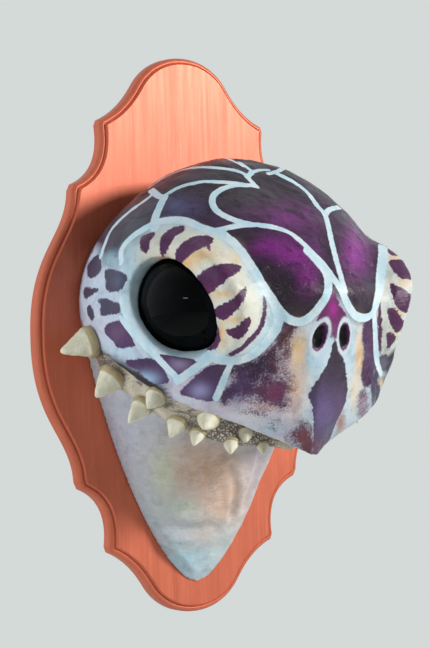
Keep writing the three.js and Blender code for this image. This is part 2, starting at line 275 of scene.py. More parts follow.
# The jaw's side, by longitude and by how far down it from 0 to 1. Its lower edge rolls in, and on the left
# it is tucked under the beak's droop.
def jawPoint(longitude, drop):
    edge = bitePoint(longitude)
    front = np.maximum(0, np.cos(np.radians(longitude))) ** 6
    roll = jaw["roll"] * (1 - math.sqrt(max(0, 1 - max(0, drop * 1.5 - 0.5) ** 2)))
    tuck = bump(longitude - jaw["tuckPlace"], jaw["tuckSpread"]) * (longitude > 0)
    inset = jaw["inset"] + (jaw["frontInset"] - jaw["inset"]) * front + roll + jaw["leftTuck"] * tuck
    height = jaw["drop"] + (jaw["frontDrop"] - jaw["drop"]) * front
    inwards = (skull["centre"] - edge) * (1, 1, 0)
    edge += inwards / np.linalg.norm(inwards, axis=1)[:, None] * inset[:, None]
    edge[:, 2] = biteHeight(edge[:, 0], -edge[:, 1]) + jaw["leftLift"] * tuck - height * drop
    return edge


def newObject(name, vertices, faces):
    mesh = bpy.data.meshes.new(name)
    mesh.from_pydata([tuple(v) for v in vertices], [], faces)
    obj = bpy.data.objects.new(name, mesh)
    bpy.context.collection.objects.link(obj)
    return obj


def activate(obj):
    bpy.ops.object.select_all(action="DESELECT")
    obj.select_set(True)
    bpy.context.view_layer.objects.active = obj


def makeNormalsOutward(obj):
    activate(obj)
    bpy.ops.object.mode_set(mode="EDIT")
    bpy.ops.mesh.select_all(action="SELECT")
    bpy.ops.mesh.normals_make_consistent(inside=False)
    bpy.ops.object.mode_set(mode="OBJECT")


# Moves a body's mesh to a place, with its own Z turned to point outward.
def plant(obj, place, outward):
    turn = outward.to_track_quat("Z", "Y").to_matrix().to_4x4()
    obj.data.transform(Matrix.Translation(place) @ turn)


# A closed body through rings of equal length.
def skinRings(name, rings):
    count = len(rings[0])
    vertices = np.concatenate(rings)
    faces = [list(range(count)), list(range(len(vertices) - count, len(vertices)))]
    for r in range(len(rings) - 1):
        for i in range(count):
            a, b = r * count + i, r * count + (i + 1) % count
            faces.append((a, b, b + count, a + count))
    obj = newObject(name, vertices, faces)
    makeNormalsOutward(obj)
    return obj


def applyModifier(obj, kind, **settings):
    activate(obj)
    modifier = obj.modifiers.new(kind.lower(), kind)
    for key, value in settings.items():
        setattr(modifier, key, value)
    bpy.ops.object.modifier_apply(modifier=modifier.name)


def combine(obj, other, operation):
    applyModifier(obj, "BOOLEAN", operation=operation, object=other, solver="MANIFOLD")
    bpy.data.objects.remove(other)


# A smooth line through a few points, with a point for about every spacing along it.
def smoothLine(points, closed=False, spacing=1.5):
    points = np.array(points, float)
    if closed:
        before, after, beyond = (np.roll(points, shift, 0) for shift in (1, -1, -2))
        last = len(points)
    else:
        before = np.concatenate([points[:1], points[:-1]])
        after = np.concatenate([points[1:], points[-1:]])
        beyond = np.concatenate([points[2:], points[-1:], points[-1:]])
        last = len(points) - 1
    out = []
    for a, b, c, d in zip(before[:last], points[:last], after[:last], beyond[:last]):
        steps = max(2, int(np.linalg.norm(c - b) / spacing))
        for t in np.arange(steps) / steps:
            bend = (2 * a - 5 * b + 4 * c - d) * t**2 + (3 * b - a - 3 * c + d) * t**3
            out.append(0.5 * (2 * b + (c - a) * t + bend))
    if not closed:
        out.append(points[-1])
    return np.array(out)


def vertexPlaces(obj):
    places = np.empty(len(obj.data.vertices) * 3)
    obj.data.vertices.foreach_get("co", places)
    return places.reshape(-1, 3)


def setVertexPlaces(obj, places):
    obj.data.vertices.foreach_set("co", places.astype(np.float32).ravel())
    obj.data.update()


def vertexNormals(obj):
    normals = np.empty(len(obj.data.vertices) * 3, np.float32)
    obj.data.vertex_normals.foreach_get("vector", normals)
    return normals.reshape(-1, 3)


# Distance from each point to the nearest of some spots.
def gapTo(points, spots, batch=4000):
    parts = np.array_split(points, max(1, len(points) // batch))
    return np.concatenate([np.linalg.norm(part[:, None] - spots[None], axis=2).min(1) for part in parts])


def smoothStep(low, high, value):
    share = np.clip((value - low) / (high - low), 0, 1)
    return share * share * (3 - 2 * share)


# Colours or numbers, one for each point of a mesh, under a name that its material reads.
def setPaint(obj, name, values):
    values = np.asarray(values, np.float32)
    if values.ndim == 2:
        layer = obj.data.attributes.new(name, "FLOAT_COLOR", "POINT")
        colours = np.column_stack([values, np.ones(len(values))])
        layer.data.foreach_set("color", colours.astype(np.float32).ravel())
    else:
        obj.data.attributes.new(name, "FLOAT", "POINT").data.foreach_set("value", values)


def readPaint(obj, name):
    values = np.empty(len(obj.data.vertices), np.float32)
    obj.data.attributes[name].data.foreach_get("value", values)
    return values


def makeSkull():
    bpy.ops.mesh.primitive_ico_sphere_add(subdivisions=7, radius=1)
    obj = bpy.context.object
    direction = vertexPlaces(obj)
    direction /= np.linalg.norm(direction, axis=1)[:, None]
    setVertexPlaces(obj, direction * skullReach(direction)[:, None] + skull["centre"])
    return obj


def makeUnderRim():
    reach = 2 * skull["radius"]
    rings = []
    for x in np.linspace(-reach, reach, 129):
        top = [(x, -depth, rimHeight(x, depth)) for depth in (-reach, reach)]
        rings.append(np.array(top + [(x, -reach, -2 * reach), (x, reach, -2 * reach)]))
    return skinRings("underRim", rings)


def makeJaw():
    turns = np.arange(96) / 96 * 360 - 180
    drops = (-0.3, 0, 0.2, 0.35, 0.48, 0.6, 0.7, 0.78, 0.86, 0.93, 0.985)
    return skinRings("jaw", [jawPoint(turns, drop) for drop in drops])


# Half width and depth of the throat, by how far down it from 0 to 1.
def throatSize(down):
    halfWidth = throat["halfWidth"] * (1 - down**1.2) ** 0.62
    depth = throat["tipDepth"] * (1 - down**8) + throat["slope"] * (1 - down) ** 1.5
    return halfWidth, depth


def makeThroat():
    rings = []
    for row in np.linspace(0, 1, 48):
        down = math.sin(row * math.pi / 2) ** 0.9 * throat["lowest"]
        halfWidth, depth = throatSize(down)
        turn = np.linspace(0, math.pi, 49)
        ring = np.stack([halfWidth * np.cos(turn), -boardThickness - depth * np.sin(turn)], 1)
        ring = np.concatenate([ring, [(-halfWidth, 0), (halfWidth, 0)]])
        rings.append(np.column_stack([ring, np.full(len(ring), -down * throat["tip"])]))
    return skinRings("throat", rings)


def makeOpening(side):
    outward, ahead, above = eyeAxes(side)
    turn = np.linspace(0, 2 * math.pi, 72, endpoint=False)
    slant = math.radians(eye["openingSlant"])
    rings = []
    inside, outside = skull["radius"] - eye["openingDepth"], skull["radius"] + 2 * brow["height"]
    for distance, flare in ((inside, 0.8), (skull["radius"], 1), (outside, 1.5)):
        long = eye["openingHalfLength"] * flare * np.cos(turn)
        short = eye["openingHalfWidth"] * flare * np.sin(turn)
        forward = long * math.cos(slant) - short * math.sin(slant)
        upward = long * math.sin(slant) + short * math.cos(slant)
        aside = np.outer(forward, ahead) + np.outer(upward, above)
        rings.append(skull["centre"] + outward * distance + aside)
    return skinRings("opening", rings)


def eyeCentre(side):
    return headDirection(side * eye["longitude"], eye["latitude"]) * eye["distance"] + skull["centre"]


def makeSocket(side):
    bpy.ops.mesh.primitive_uv_sphere_add(segments=96, ring_count=48, radius=eye["radius"] + 4 * contactGap,
                                         location=eyeCentre(side))
    return bpy.context.object


def nostrilPlace(side):
    latitude = math.degrees(math.atan2(nostril["height"] - skull["centre"][2], skull["radius"]))
    longitude = math.degrees(math.atan2(side * nostril["offset"], skull["radius"]))
    return latitude, longitude


def makeNostril(side):
    latitude, longitude = nostrilPlace(side)
    size = (nostril["halfWidth"], nostril["depth"], nostril["halfHeight"])
    bpy.ops.mesh.primitive_uv_sphere_add(segments=48, ring_count=24, radius=1, scale=size,
                                         location=skinPoint(longitude, latitude)[0],
                                         rotation=(0, math.radians(side * nostril["turn"]), 0))
    return bpy.context.object


def makeBehindBoard():
    size = 4 * skull["radius"]
    bpy.ops.mesh.primitive_cube_add(size=size, location=(0, size / 2 - boardThickness - contactGap, 0))
    return bpy.context.object


lumps = {
    "paper": 1.0 * mm,
    "paperSize": 30 * mm,
    "crumple": 0.4 * mm,
    "crumpleSize": 9 * mm,
    "crumplePlace": Vector((7, 3, 5)),
    "ridge": 0.55 * mm,
    "ridgeSize": 24 * mm,
    "ridgeSharpness": 9,
    "crease": 2.2 * mm,
    "shrink": 1.2 * mm,
    "edge": 9 * mm,
}
# Creases of the throat and of the far cheek: half width, then the pixels they pass.
creases = [
    (2.4 * mm, [(386, 351), (380, 358), (374, 367), (370, 377), (368, 388)]),
    (2.4 * mm, [(372, 374), (377, 383), (378, 394), (375, 408), (369, 420)]),
    (5 * mm, [(262, 452), (258, 470), (250, 492), (246, 505)]),
    (6 * mm, [(138, 500), (150, 514), (168, 526), (190, 531), (214, 529)]),
    (4 * mm, [(230, 468), (236, 490), (232, 515)]),
    (4 * mm, [(150, 545), (170, 556), (186, 574)]),
]


# The paper's unevenness, and its folds, which fade out at the board.
def addLumps(obj):
    places, normals = vertexPlaces(obj), vertexNormals(obj)
    lift = np.zeros(len(places))
    for i, place in enumerate(places):
        crumple = Vector(place) / lumps["crumpleSize"] + lumps["crumplePlace"]
        ridge = 1 - abs(noise.noise(Vector(place) / lumps["ridgeSize"]))
        lift[i] = lumps["paper"] * noise.noise(Vector(place) / lumps["paperSize"])
        lift[i] += lumps["crumple"] * noise.noise(crumple)
        lift[i] += lumps["ridge"] * ridge ** lumps["ridgeSharpness"]
    skin = BVHTree.FromObject(obj, bpy.context.evaluated_depsgraph_get())
    pixels = toPhoto(places)
    onThroat = (pixels[:, 1] > 430) & (places[:, 2] < -60 * mm)
    onFarCheek = (pixels[:, 0] > 350) & (pixels[:, 1] > 335) & (places[:, 0] > 0)
    creased = np.flatnonzero(onThroat | onFarCheek)
    for width, line in creases:
        hits = [skin.ray_cast(*sightLine(x, y))[0] for x, y in smoothLine(line)]
        gap = gapTo(places[creased], np.array([tuple(hit) for hit in hits if hit is not None]))
        depth = min(lumps["crease"], 0.5 * width)
        lift[creased] += depth * (0.6 * bump(gap - 2 * width, width) - bump(gap, width))
    fromBoard = -places[:, 1] - boardThickness - contactGap
    lift = (lift - lumps["shrink"]) * smoothStep(0, lumps["edge"], fromBoard)
    setVertexPlaces(obj, places + normals * lift[:, None])


# Which part of the head each point belongs to, told before the paper is made uneven.
def sortSkin(obj, skinGap=3 * mm):
    points = vertexPlaces(obj)
    away = points - skull["centre"]
    distance = np.linalg.norm(away, axis=1)
    edge = rimHeight(points[:, 0], -points[:, 1])
    onSkull = np.abs(distance - skullReach(away / distance[:, None])) < skinGap
    onSkull &= points[:, 2] > edge - 0.5 * mm
    halfWidth, depth = throatSize(np.clip(-points[:, 2] / throat["tip"], 0, throat["lowest"]))
    depth = np.maximum(depth, 1 * mm)
    oval = np.sqrt((points[:, 0] / halfWidth) ** 2 + ((-points[:, 1] - boardThickness) / depth) ** 2)
    onThroat = ~onSkull & (np.abs(oval - 1) * np.minimum(halfWidth, depth) < skinGap)
    onThroat |= points[:, 2] < -0.75 * throat["tip"]
    onJaw = ~onSkull & ~onThroat & (points[:, 2] < edge + 1.2 * mm)
    setPaint(obj, "jaw", onJaw.astype(float))
    setPaint(obj, "throat", onThroat.astype(float))


def makeHead():
    head = makeSkull()
    combine(head, makeUnderRim(), "DIFFERENCE")
    combine(head, makeJaw(), "UNION")
    combine(head, makeThroat(), "UNION")
    combine(head, makeBehindBoard(), "DIFFERENCE")
    for side in (-1, 1):
        combine(head, makeSocket(side), "DIFFERENCE")
        combine(head, makeOpening(side), "DIFFERENCE")
        combine(head, makeNostril(side), "DIFFERENCE")
    print("head solid:", len(head.data.vertices), "vertices")
    applyModifier(head, "REMESH", mode="VOXEL", voxel_size=2.1 * mm)
    applyModifier(head, "SMOOTH", factor=0.5, iterations=3)
    sortSkin(head)
    addLumps(head)
    bpy.ops.object.shade_smooth()
    head.name = head.data.name = "paintedHead"
    print("head skin:", len(head.data.vertices), "vertices")
    return head


head = makeHead()
print("head shaped")


# Paint on the head. Places are pixels of the photograph, dropped along the line of sight onto the skin;
# the animal's hidden left side repeats them as a mirror image.
tree = BVHTree.FromObject(head, bpy.context.evaluated_depsgraph_get())

# Stands for the distance where no paint is near.
farOff = 50 * mm


# Where rays meet the skin, filled in to an unbroken row of points, without stray hits.
def castLine(rays, step=1.2 * mm, jump=24 * mm, fewest=4):
    runs = [[]]
    for start, along in rays:
        hit = tree.ray_cast(start, along)[0]
        if hit is None:
            continue
        if runs[-1] and (hit - runs[-1][-1]).length > jump:
            runs.append([])
        runs[-1].append(hit)
    spots = []
    for run in runs:
        if len(run) < fewest:
            continue
        for last, hit in zip(run, run[1:]):
            steps = max(1, int((hit - last).length / step))
            spots += [tree.find_nearest(last.lerp(hit, t / steps))[0] for t in range(steps)]
        spots.append(run[-1])
    return np.array([tuple(spot) for spot in spots])


# The points of the skin under a row of pixels, and under places seen from above in millimetres.
def onSkin(pixels):
    return castLine(sightLine(x, y) for x, y in pixels)


def fromAbove(places):
    return castLine((Vector((x * mm, y * mm, 1)), Vector((0, 0, -1))) for x, y in places)


# Whether pixels lie inside an outline: a row from there crosses it an odd number of times.
def insideOutline(pixels, outline):
    x, y = pixels[:, 0], pixels[:, 1]
    inside = np.zeros(len(pixels), bool)
    for (ax, ay), (bx, by) in zip(outline, np.roll(outline, -1, 0)):
        crosses = (ay > y) != (by > y)
        with np.errstate(divide="ignore", invalid="ignore"):
            inside ^= crosses & (x < (bx - ax) * (y - ay) / (by - ay) + ax)
    return inside


# How far over the skin each point is from a painted line or outline, negative inside an outline. Points
# beyond a margin in pixels don't count, nor do those too deep inside, which are on skin farther back.
def paintReach(points, pixels, outline, closed, margin=16, deepest=36 * mm):
    reach = np.full(len(points), farOff)
    low, high = outline.min(0) - margin, outline.max(0) + margin
    near = np.flatnonzero(((pixels > low) & (pixels < high)).all(1))
    spots = onSkin(outline)
    if len(near) == 0 or len(spots) == 0:
        return reach
    gap = gapTo(points[near], spots)
    if closed:
        gap = np.where(insideOutline(pixels[near], outline) & (gap < deepest), -gap, gap)
    reach[near] = gap
    return reach


# Pale lines: half width as a share of lineWidth, then the pixels they pass.
lineWidth = 2.9 * mm
paleLines = {
    "temple": (1.0, [(153, 194), (142, 202.5), (130, 211), (119, 221), (110, 232), (104, 246), (101, 256)]),
    "knot": (1.1, [(151, 190), (157, 195), (164, 198)]),
    "knotToBrow": (1.35, [(164, 198), (158, 210), (155, 219), (155, 228)]),
    "aboveBrow": (0.9, [
        (162, 197), (172, 191), (180, 187), (192, 183.5), (206, 181.5), (228, 182.5), (242, 184),
        (256, 186.5)]),
    "crown": (0.85, [
        (150, 187), (160, 180), (170, 174.5), (182, 170), (196, 167.5), (212, 167.5), (230, 169.5),
        (243, 173), (250, 180), (257, 187)]),
    "peak": (0.85, [(240, 162.5), (249, 169), (252, 172), (247, 177)]),
    "crownBranch": (0.8, [(252, 172), (260, 170), (268, 170)]),
    "centreLeft": (1.0, [
        (250, 185), (235, 185.5), (222, 189), (214, 195), (212.5, 203), (217, 211), (228, 217.5),
        (240, 221.5), (252, 224)]),
    "lower": (1.0, [
        (215, 231), (225, 228.5), (236, 226), (250, 224.5), (263, 225.5), (277, 228), (290, 233),
        (300, 240.5), (311, 251), (322, 262), (331, 274), (338, 284), (344, 293)]),
    "centreRight": (1.0, [
        (276, 173), (289, 179.5), (301, 187), (310, 195.5), (317.5, 206), (325, 215), (328.5, 227),
        (332, 243), (336, 259), (340.5, 275), (345.5, 292)]),
    "rightBranch": (0.9, [(325, 215), (329, 210), (338, 207.5), (349, 208.5)]),
    "brow": (1.25, [
        (121, 262), (122, 249), (131, 238), (144, 229), (158, 222), (172, 220), (186, 221), (200, 227),
        (213, 231), (222, 234)]),
    "browFront": (1.45, [
        (222, 234), (235, 244), (246, 258), (257, 275), (266, 291), (274, 303), (279, 317)]),
    "browUnder": (1.5, [
        (279, 317), (276, 329), (268, 340), (257, 351), (244, 359), (231, 361), (217, 359)]),
    "leftScute": (1.25, [
        (263, 285), (271, 297), (280, 311), (289, 319), (299, 322), (309, 318), (318, 309), (326, 297),
        (328.5, 286), (326, 274), (317, 262), (307, 251)]),
    "rightScute": (1.25, [
        (331, 276), (341, 289), (348, 305), (355, 315), (363, 318), (371, 315), (376, 305)]),
    "rightBand": (1.5, [(382, 236), (383, 255), (381, 272), (379, 290), (375, 306)]),
    "rightDrop": (1.0, [(374, 312), (375, 330), (375.5, 345), (377, 362), (381, 374)]),
    "underEyeLeft": (1.2, [(121, 319), (130, 331), (142, 343), (155, 356), (168, 369), (178, 379)]),
    "underEyeRight": (1.2, [(177, 381), (190, 372), (203, 363), (215, 357)]),
    "cheek": (1.0, [(231, 363), (226, 374), (221, 387), (216, 398)]),
    "lid": (1.7, [
        (124, 300), (127, 314), (133, 325), (142, 335), (152, 344), (164, 350), (178, 354), (193, 356),
        (207, 356)]),
}

# Lines over the nape: half width in the same way, then places seen from above in millimetres.
napeLines = {
    "crownRight": (0.85, [(8, -128), (22, -124), (34, -114), (46, -98)]),
    "median": (0.85, [(-11, -117), (-12, -100), (-8, -78), (0, -58)]),
    "napeLeft": (0.85, [(0, -58), (-20, -46), (-38, -30), (-48, -15)]),
    "napeRight": (0.85, [(0, -58), (20, -46), (38, -30), (48, -15)]),
}

# Dark patches: the paint that fills them, then their outline.
inks = {
    "plum": (0.080, 0.018, 0.074),
    "slate": (0.055, 0.050, 0.095),
    "violet": (0.075, 0.032, 0.110),
    "beak": (0.034, 0.022, 0.040),
    "magenta": (0.140, 0.018, 0.110),
}
patches = {
    "dash1": ("plum", [
        (140, 240), (144, 235), (154, 232), (154, 236), (150, 242), (149, 248), (146, 253), (141, 250)]),
    "dash2": ("plum", [
        (160, 246), (161, 237), (167, 231), (177, 226), (185, 226), (184, 231), (176, 236), (171, 243),
        (167, 251), (163, 257), (160, 254)]),
    "dash3": ("plum", [
        (175, 257), (177, 249), (185, 241), (195, 236), (207, 235.5), (214, 239), (210, 245), (202, 248),
        (194, 252), (187, 258), (180, 265), (176, 261)]),
    "dash4": ("plum", [
        (192, 286), (196, 278), (205, 270), (215, 265), (229, 263.5), (241, 266), (240, 271), (232, 276),
        (223, 283), (215, 290), (207, 295.5), (200, 296), (195, 291)]),
    "dash5": ("plum", [
        (212, 311), (220, 305), (230, 300), (240, 292), (246, 287), (246.5, 295), (241, 305), (233, 314),
        (224, 320), (218, 318), (214, 314)]),
    "dash6": ("plum", [
        (225, 330), (235, 327), (243, 321), (249, 316), (251, 320), (249, 328), (244, 336), (237, 339.5),
        (231, 337)]),
    "browSpot": ("magenta", [(206, 247), (211, 245), (210, 251)]),
    "browArc": ("plum", [
        (263.5, 293), (265.5, 298), (266.5, 308), (265.5, 320), (261, 331), (253, 341), (243, 350),
        (233, 355.5), (225, 357), (232, 352), (242, 345), (251, 336), (259, 325), (262.5, 313),
        (263, 302)]),
    "crescent": ("plum", [
        (201, 297), (207, 306), (213, 316), (219, 329), (220, 341), (215, 349), (207, 350), (208, 343),
        (211, 335), (210, 324), (207, 313)]),
    "temple1": ("slate", [(89, 263), (97, 255), (101, 261), (101, 270), (96, 276), (89, 278), (87, 270)]),
    "temple2": ("slate", [
        (106, 270), (113, 269), (120, 272), (127, 275), (125, 283), (120, 290), (110, 292), (105, 287),
        (106, 280), (104, 275)]),
    "temple3": ("slate", [
        (85, 287), (90, 288), (97, 288), (98.5, 291), (92, 295), (85.5, 299), (83.5, 293)]),
    "temple4": ("slate", [
        (98, 300), (105, 298), (111, 301), (119, 304), (120, 312), (110, 315), (101, 315), (100, 310),
        (101, 306)]),
    "temple5": ("slate", [(87.5, 306), (91, 306), (94, 314), (92.5, 321), (89, 317), (87, 311)]),
    "temple6": ("violet", [
        (105, 326), (112, 322), (122, 321), (127, 329), (135, 345), (132, 347), (118, 348), (112, 340),
        (106, 335)]),
    "cheek1": ("violet", [
        (126, 361), (135, 359.5), (150, 358), (160, 364), (169, 380), (165, 384), (155, 384), (146, 378),
        (137, 370), (128, 366)]),
    "cheek2": ("violet", [
        (141, 336), (150, 345), (165, 354), (180, 357.5), (207, 356.5), (208, 357.5), (192, 368),
        (180, 378), (170, 368), (157, 357), (145, 346)]),
    "cheek3": ("violet", [
        (180, 393), (190, 381), (205, 368), (220, 363), (231, 365), (227, 375), (220, 390), (214, 401),
        (200, 400), (188, 397)]),
    "beak": ("beak", [
        (335.5, 340), (331, 352), (328, 362), (320, 376), (309, 393), (312, 407), (314, 430), (313.5, 460),
        (322, 460), (328, 446), (334, 428), (344, 406), (347.5, 391), (346.5, 375), (343, 357)]),
    "bridge": ("magenta", [
        (333, 290), (327, 303), (317, 319), (322, 323), (331, 324), (335, 336), (339, 324), (348, 319),
        (340, 305)]),
    "rightDash1": ("plum", [(386, 244), (394, 241), (401, 247), (403, 254), (395, 256), (388, 253)]),
    "rightDash2": ("plum", [
        (389, 262), (397, 259), (406, 262), (412, 270), (412, 279), (403, 279), (394, 272)]),
    "rightDash3": ("plum", [
        (390, 285), (398, 286), (408, 292), (412, 298), (408, 312), (399, 310), (393, 299)]),
    "rightDash4": ("plum", [
        (388, 308), (395, 309), (402, 318), (404, 324), (397, 333), (391, 325), (388, 316)]),
    "rightDash5": ("plum", [(387, 332), (391, 333), (396, 338), (391, 346), (387, 348)]),
    "rightStripe": ("plum", [
        (379, 300), (381, 308), (382, 325), (381.5, 345), (380, 357), (378, 345), (378, 322), (378, 308)]),
}

# Broad paint under them: colour, soft edge in pixels, outline. Later ones cover earlier ones.
grounds = {
    "temple": ((0.50, 0.59, 0.72), 5, [
        (98, 245), (104, 262), (119, 268), (122, 300), (126, 320), (140, 337), (156, 350), (178, 378),
        (170, 388), (125, 362), (100, 350), (80, 325), (76, 300), (80, 270), (88, 250)]),
    "browRing": ((0.52, 0.70, 0.79), 3, [
        (119, 264), (121, 248), (131, 237), (146, 227), (160, 220), (172, 218), (186, 219), (200, 225),
        (213, 230), (222, 233), (236, 243), (246, 257), (258, 275), (268, 291), (277, 306), (281, 318),
        (277, 331), (269, 342), (256, 353), (243, 360), (230, 363), (213, 360), (196, 358), (178, 356),
        (160, 351), (146, 342), (133, 330), (123, 313), (118, 290)]),
    "browPad": ((0.72, 0.72, 0.62), 7, [
        (140, 262), (140, 244), (154, 232), (172, 227), (190, 228), (206, 233), (222, 242), (236, 256),
        (246, 272), (258, 292), (264, 312), (258, 330), (246, 345), (230, 353), (218, 354), (222, 340),
        (214, 312), (200, 292), (184, 272), (165, 258)]),
    "rightBrow": ((0.62, 0.66, 0.62), 2, [
        (383, 236), (394, 236), (408, 248), (420, 262), (420, 300), (412, 325), (398, 345), (388, 356),
        (379, 366), (375, 350), (376, 312), (380, 290)]),
    "cheek": ((0.60, 0.55, 0.66), 4, [
        (166, 390), (180, 379), (212, 362), (232, 363), (257, 353), (271, 339), (281, 321), (300, 324),
        (306, 345), (300, 400), (310, 470), (240, 450), (190, 415)]),
    "front": ((0.52, 0.66, 0.76), 6, [
        (296, 326), (312, 318), (330, 300), (345, 300), (352, 318), (363, 322), (374, 322), (378, 380),
        (386, 400), (350, 460), (296, 460), (300, 400), (306, 350)]),
}

# Soft brushwork: colour, strength, place and spread in pixels.
softDabs = {
    "copperEdge": ((0.20, 0.08, 0.06), 0.35, (130, 200), (10, 8)),
    "napeMauve": ((0.18, 0.12, 0.20), 0.6, (105, 225), (10, 22)),
    "scuteGrey": ((0.075, 0.085, 0.115), 0.85, (130, 224), (20, 20)),
    "scuteBlue": ((0.070, 0.095, 0.170), 0.7, (117, 255), (9, 10)),
    "scuteTop": ((0.10, 0.09, 0.13), 0.6, (150, 204), (12, 8)),
    "aboveBrowViolet": ((0.085, 0.060, 0.160), 0.85, (184, 208), (24, 12)),
    "aboveBrowBlue": ((0.085, 0.100, 0.210), 0.6, (176, 205), (9, 9)),
    "aboveBrowPlum": ((0.075, 0.030, 0.085), 0.8, (220, 222), (18, 7)),
    "crownSlate": ((0.075, 0.085, 0.120), 0.7, (185, 176), (24, 5)),
    "crownRed": ((0.20, 0.05, 0.05), 0.45, (168, 173), (10, 4)),
    "crownBlue": ((0.06, 0.10, 0.18), 0.45, (160, 182), (6, 4)),
    "centreGrey": ((0.070, 0.060, 0.070), 0.7, (250, 196), (32, 14)),
    "centreMagenta": ((0.16, 0.024, 0.17), 0.95, (290, 217), (32, 15)),
    "centreViolet": ((0.11, 0.030, 0.12), 0.7, (316, 240), (8, 22)),
    "centrePlum": ((0.09, 0.030, 0.095), 0.6, (250, 213), (16, 6)),
    "scuteMagenta": ((0.20, 0.020, 0.21), 1.0, (272, 246), (24, 10)),
    "scuteMagentaMid": ((0.25, 0.022, 0.26), 0.95, (296, 256), (18, 11)),
    "scuteMagentaLow": ((0.19, 0.020, 0.19), 0.95, (307, 276), (12, 18)),
    "scuteNight": ((0.026, 0.018, 0.028), 0.85, (281, 292), (13, 20)),
    "scuteEdge": ((0.030, 0.020, 0.035), 0.8, (245, 238), (12, 7)),
    "rightMagenta": ((0.25, 0.024, 0.26), 1.0, (356, 252), (14, 28)),
    "rightViolet": ((0.15, 0.07, 0.19), 0.7, (360, 226), (9, 12)),
    "rightGrey": ((0.10, 0.09, 0.12), 0.7, (342, 214), (8, 7)),
    "rightNight": ((0.035, 0.022, 0.038), 0.7, (352, 296), (12, 14)),
    "crownRight": ((0.10, 0.09, 0.12), 0.6, (310, 185), (14, 10)),
    "peachBrow1": ((0.82, 0.50, 0.20), 1.0, (187, 262), (10, 8)),
    "peachBrow2": ((0.80, 0.52, 0.24), 1.0, (201, 255), (15, 6)),
    "peachBrow3": ((0.80, 0.48, 0.20), 1.0, (205, 300), (7, 8)),
    "peachBrow4": ((0.78, 0.54, 0.28), 0.95, (222, 294), (12, 4)),
    "peachBrow5": ((0.80, 0.52, 0.24), 1.0, (221, 334), (6, 14)),
    "peachBrow6": ((0.78, 0.56, 0.30), 0.9, (234, 320), (12, 4)),
    "peachBrow7": ((0.76, 0.52, 0.28), 0.9, (164, 258), (9, 5)),
    "peachBrow8": ((0.78, 0.64, 0.36), 0.7, (236, 258), (7, 12)),
    "creamBrow": ((0.76, 0.72, 0.50), 0.6, (214, 246), (8, 8)),
    "peachRight1": ((0.76, 0.54, 0.30), 0.8, (396, 258), (8, 3)),
    "peachRight2": ((0.76, 0.56, 0.32), 0.8, (404, 283), (8, 4)),
    "peachRight3": ((0.76, 0.56, 0.32), 0.8, (398, 312), (6, 5)),
    "peachRight4": ((0.76, 0.56, 0.32), 0.8, (394, 334), (4, 4)),
    "templePale": ((0.58, 0.56, 0.68), 0.7, (98, 330), (14, 18)),
    "templeBlue": ((0.44, 0.68, 0.80), 0.75, (112, 260), (9, 8)),
    "templeBlueLow": ((0.44, 0.64, 0.78), 0.6, (122, 352), (14, 6)),
    "cheekPale": ((0.60, 0.68, 0.78), 0.7, (190, 398), (20, 6)),
    "lavenderCheek": ((0.36, 0.32, 0.56), 0.8, (238, 396), (12, 8)),
    "peachCheek": ((0.78, 0.50, 0.36), 0.8, (266, 408), (12, 5)),
    "whiteCheek": ((0.82, 0.82, 0.88), 0.95, (250, 420), (26, 10)),
    "blueCheek": ((0.46, 0.66, 0.80), 0.75, (272, 429), (14, 6)),
    "pinkCheek": ((0.62, 0.42, 0.46), 0.6, (294, 412), (7, 12)),
    "whiteCheekTop": ((0.74, 0.72, 0.76), 0.7, (288, 415), (5, 10)),
    "peachFace": ((0.80, 0.52, 0.23), 1.0, (299, 351), (11, 20)),
    "peachFaceLow": ((0.78, 0.55, 0.38), 0.95, (298, 388), (10, 18)),
    "whiteBeak": ((0.70, 0.72, 0.78), 0.75, (306, 398), (5, 22)),
    "blueBeak": ((0.36, 0.66, 0.84), 0.75, (312, 356), (8, 12)),
    "blueRight": ((0.46, 0.70, 0.82), 0.7, (352, 350), (4, 20)),
    "creamRight": ((0.78, 0.66, 0.50), 0.9, (354, 392), (5, 20)),
    "peachRight": ((0.80, 0.52, 0.24), 1.0, (360, 356), (4.5, 26)),
    "peachTipRight": ((0.62, 0.36, 0.27), 0.8, (341, 423), (4, 16)),
    "whiteTipRight": ((0.70, 0.66, 0.70), 0.6, (360, 424), (8, 6)),
    "blueTip": ((0.44, 0.64, 0.78), 0.8, (345, 437), (8, 4)),
    "peachFold": ((0.70, 0.52, 0.32), 0.85, (381, 384), (3, 8)),
    "blueFold": ((0.46, 0.66, 0.76), 0.7, (383, 374), (4, 3)),
}

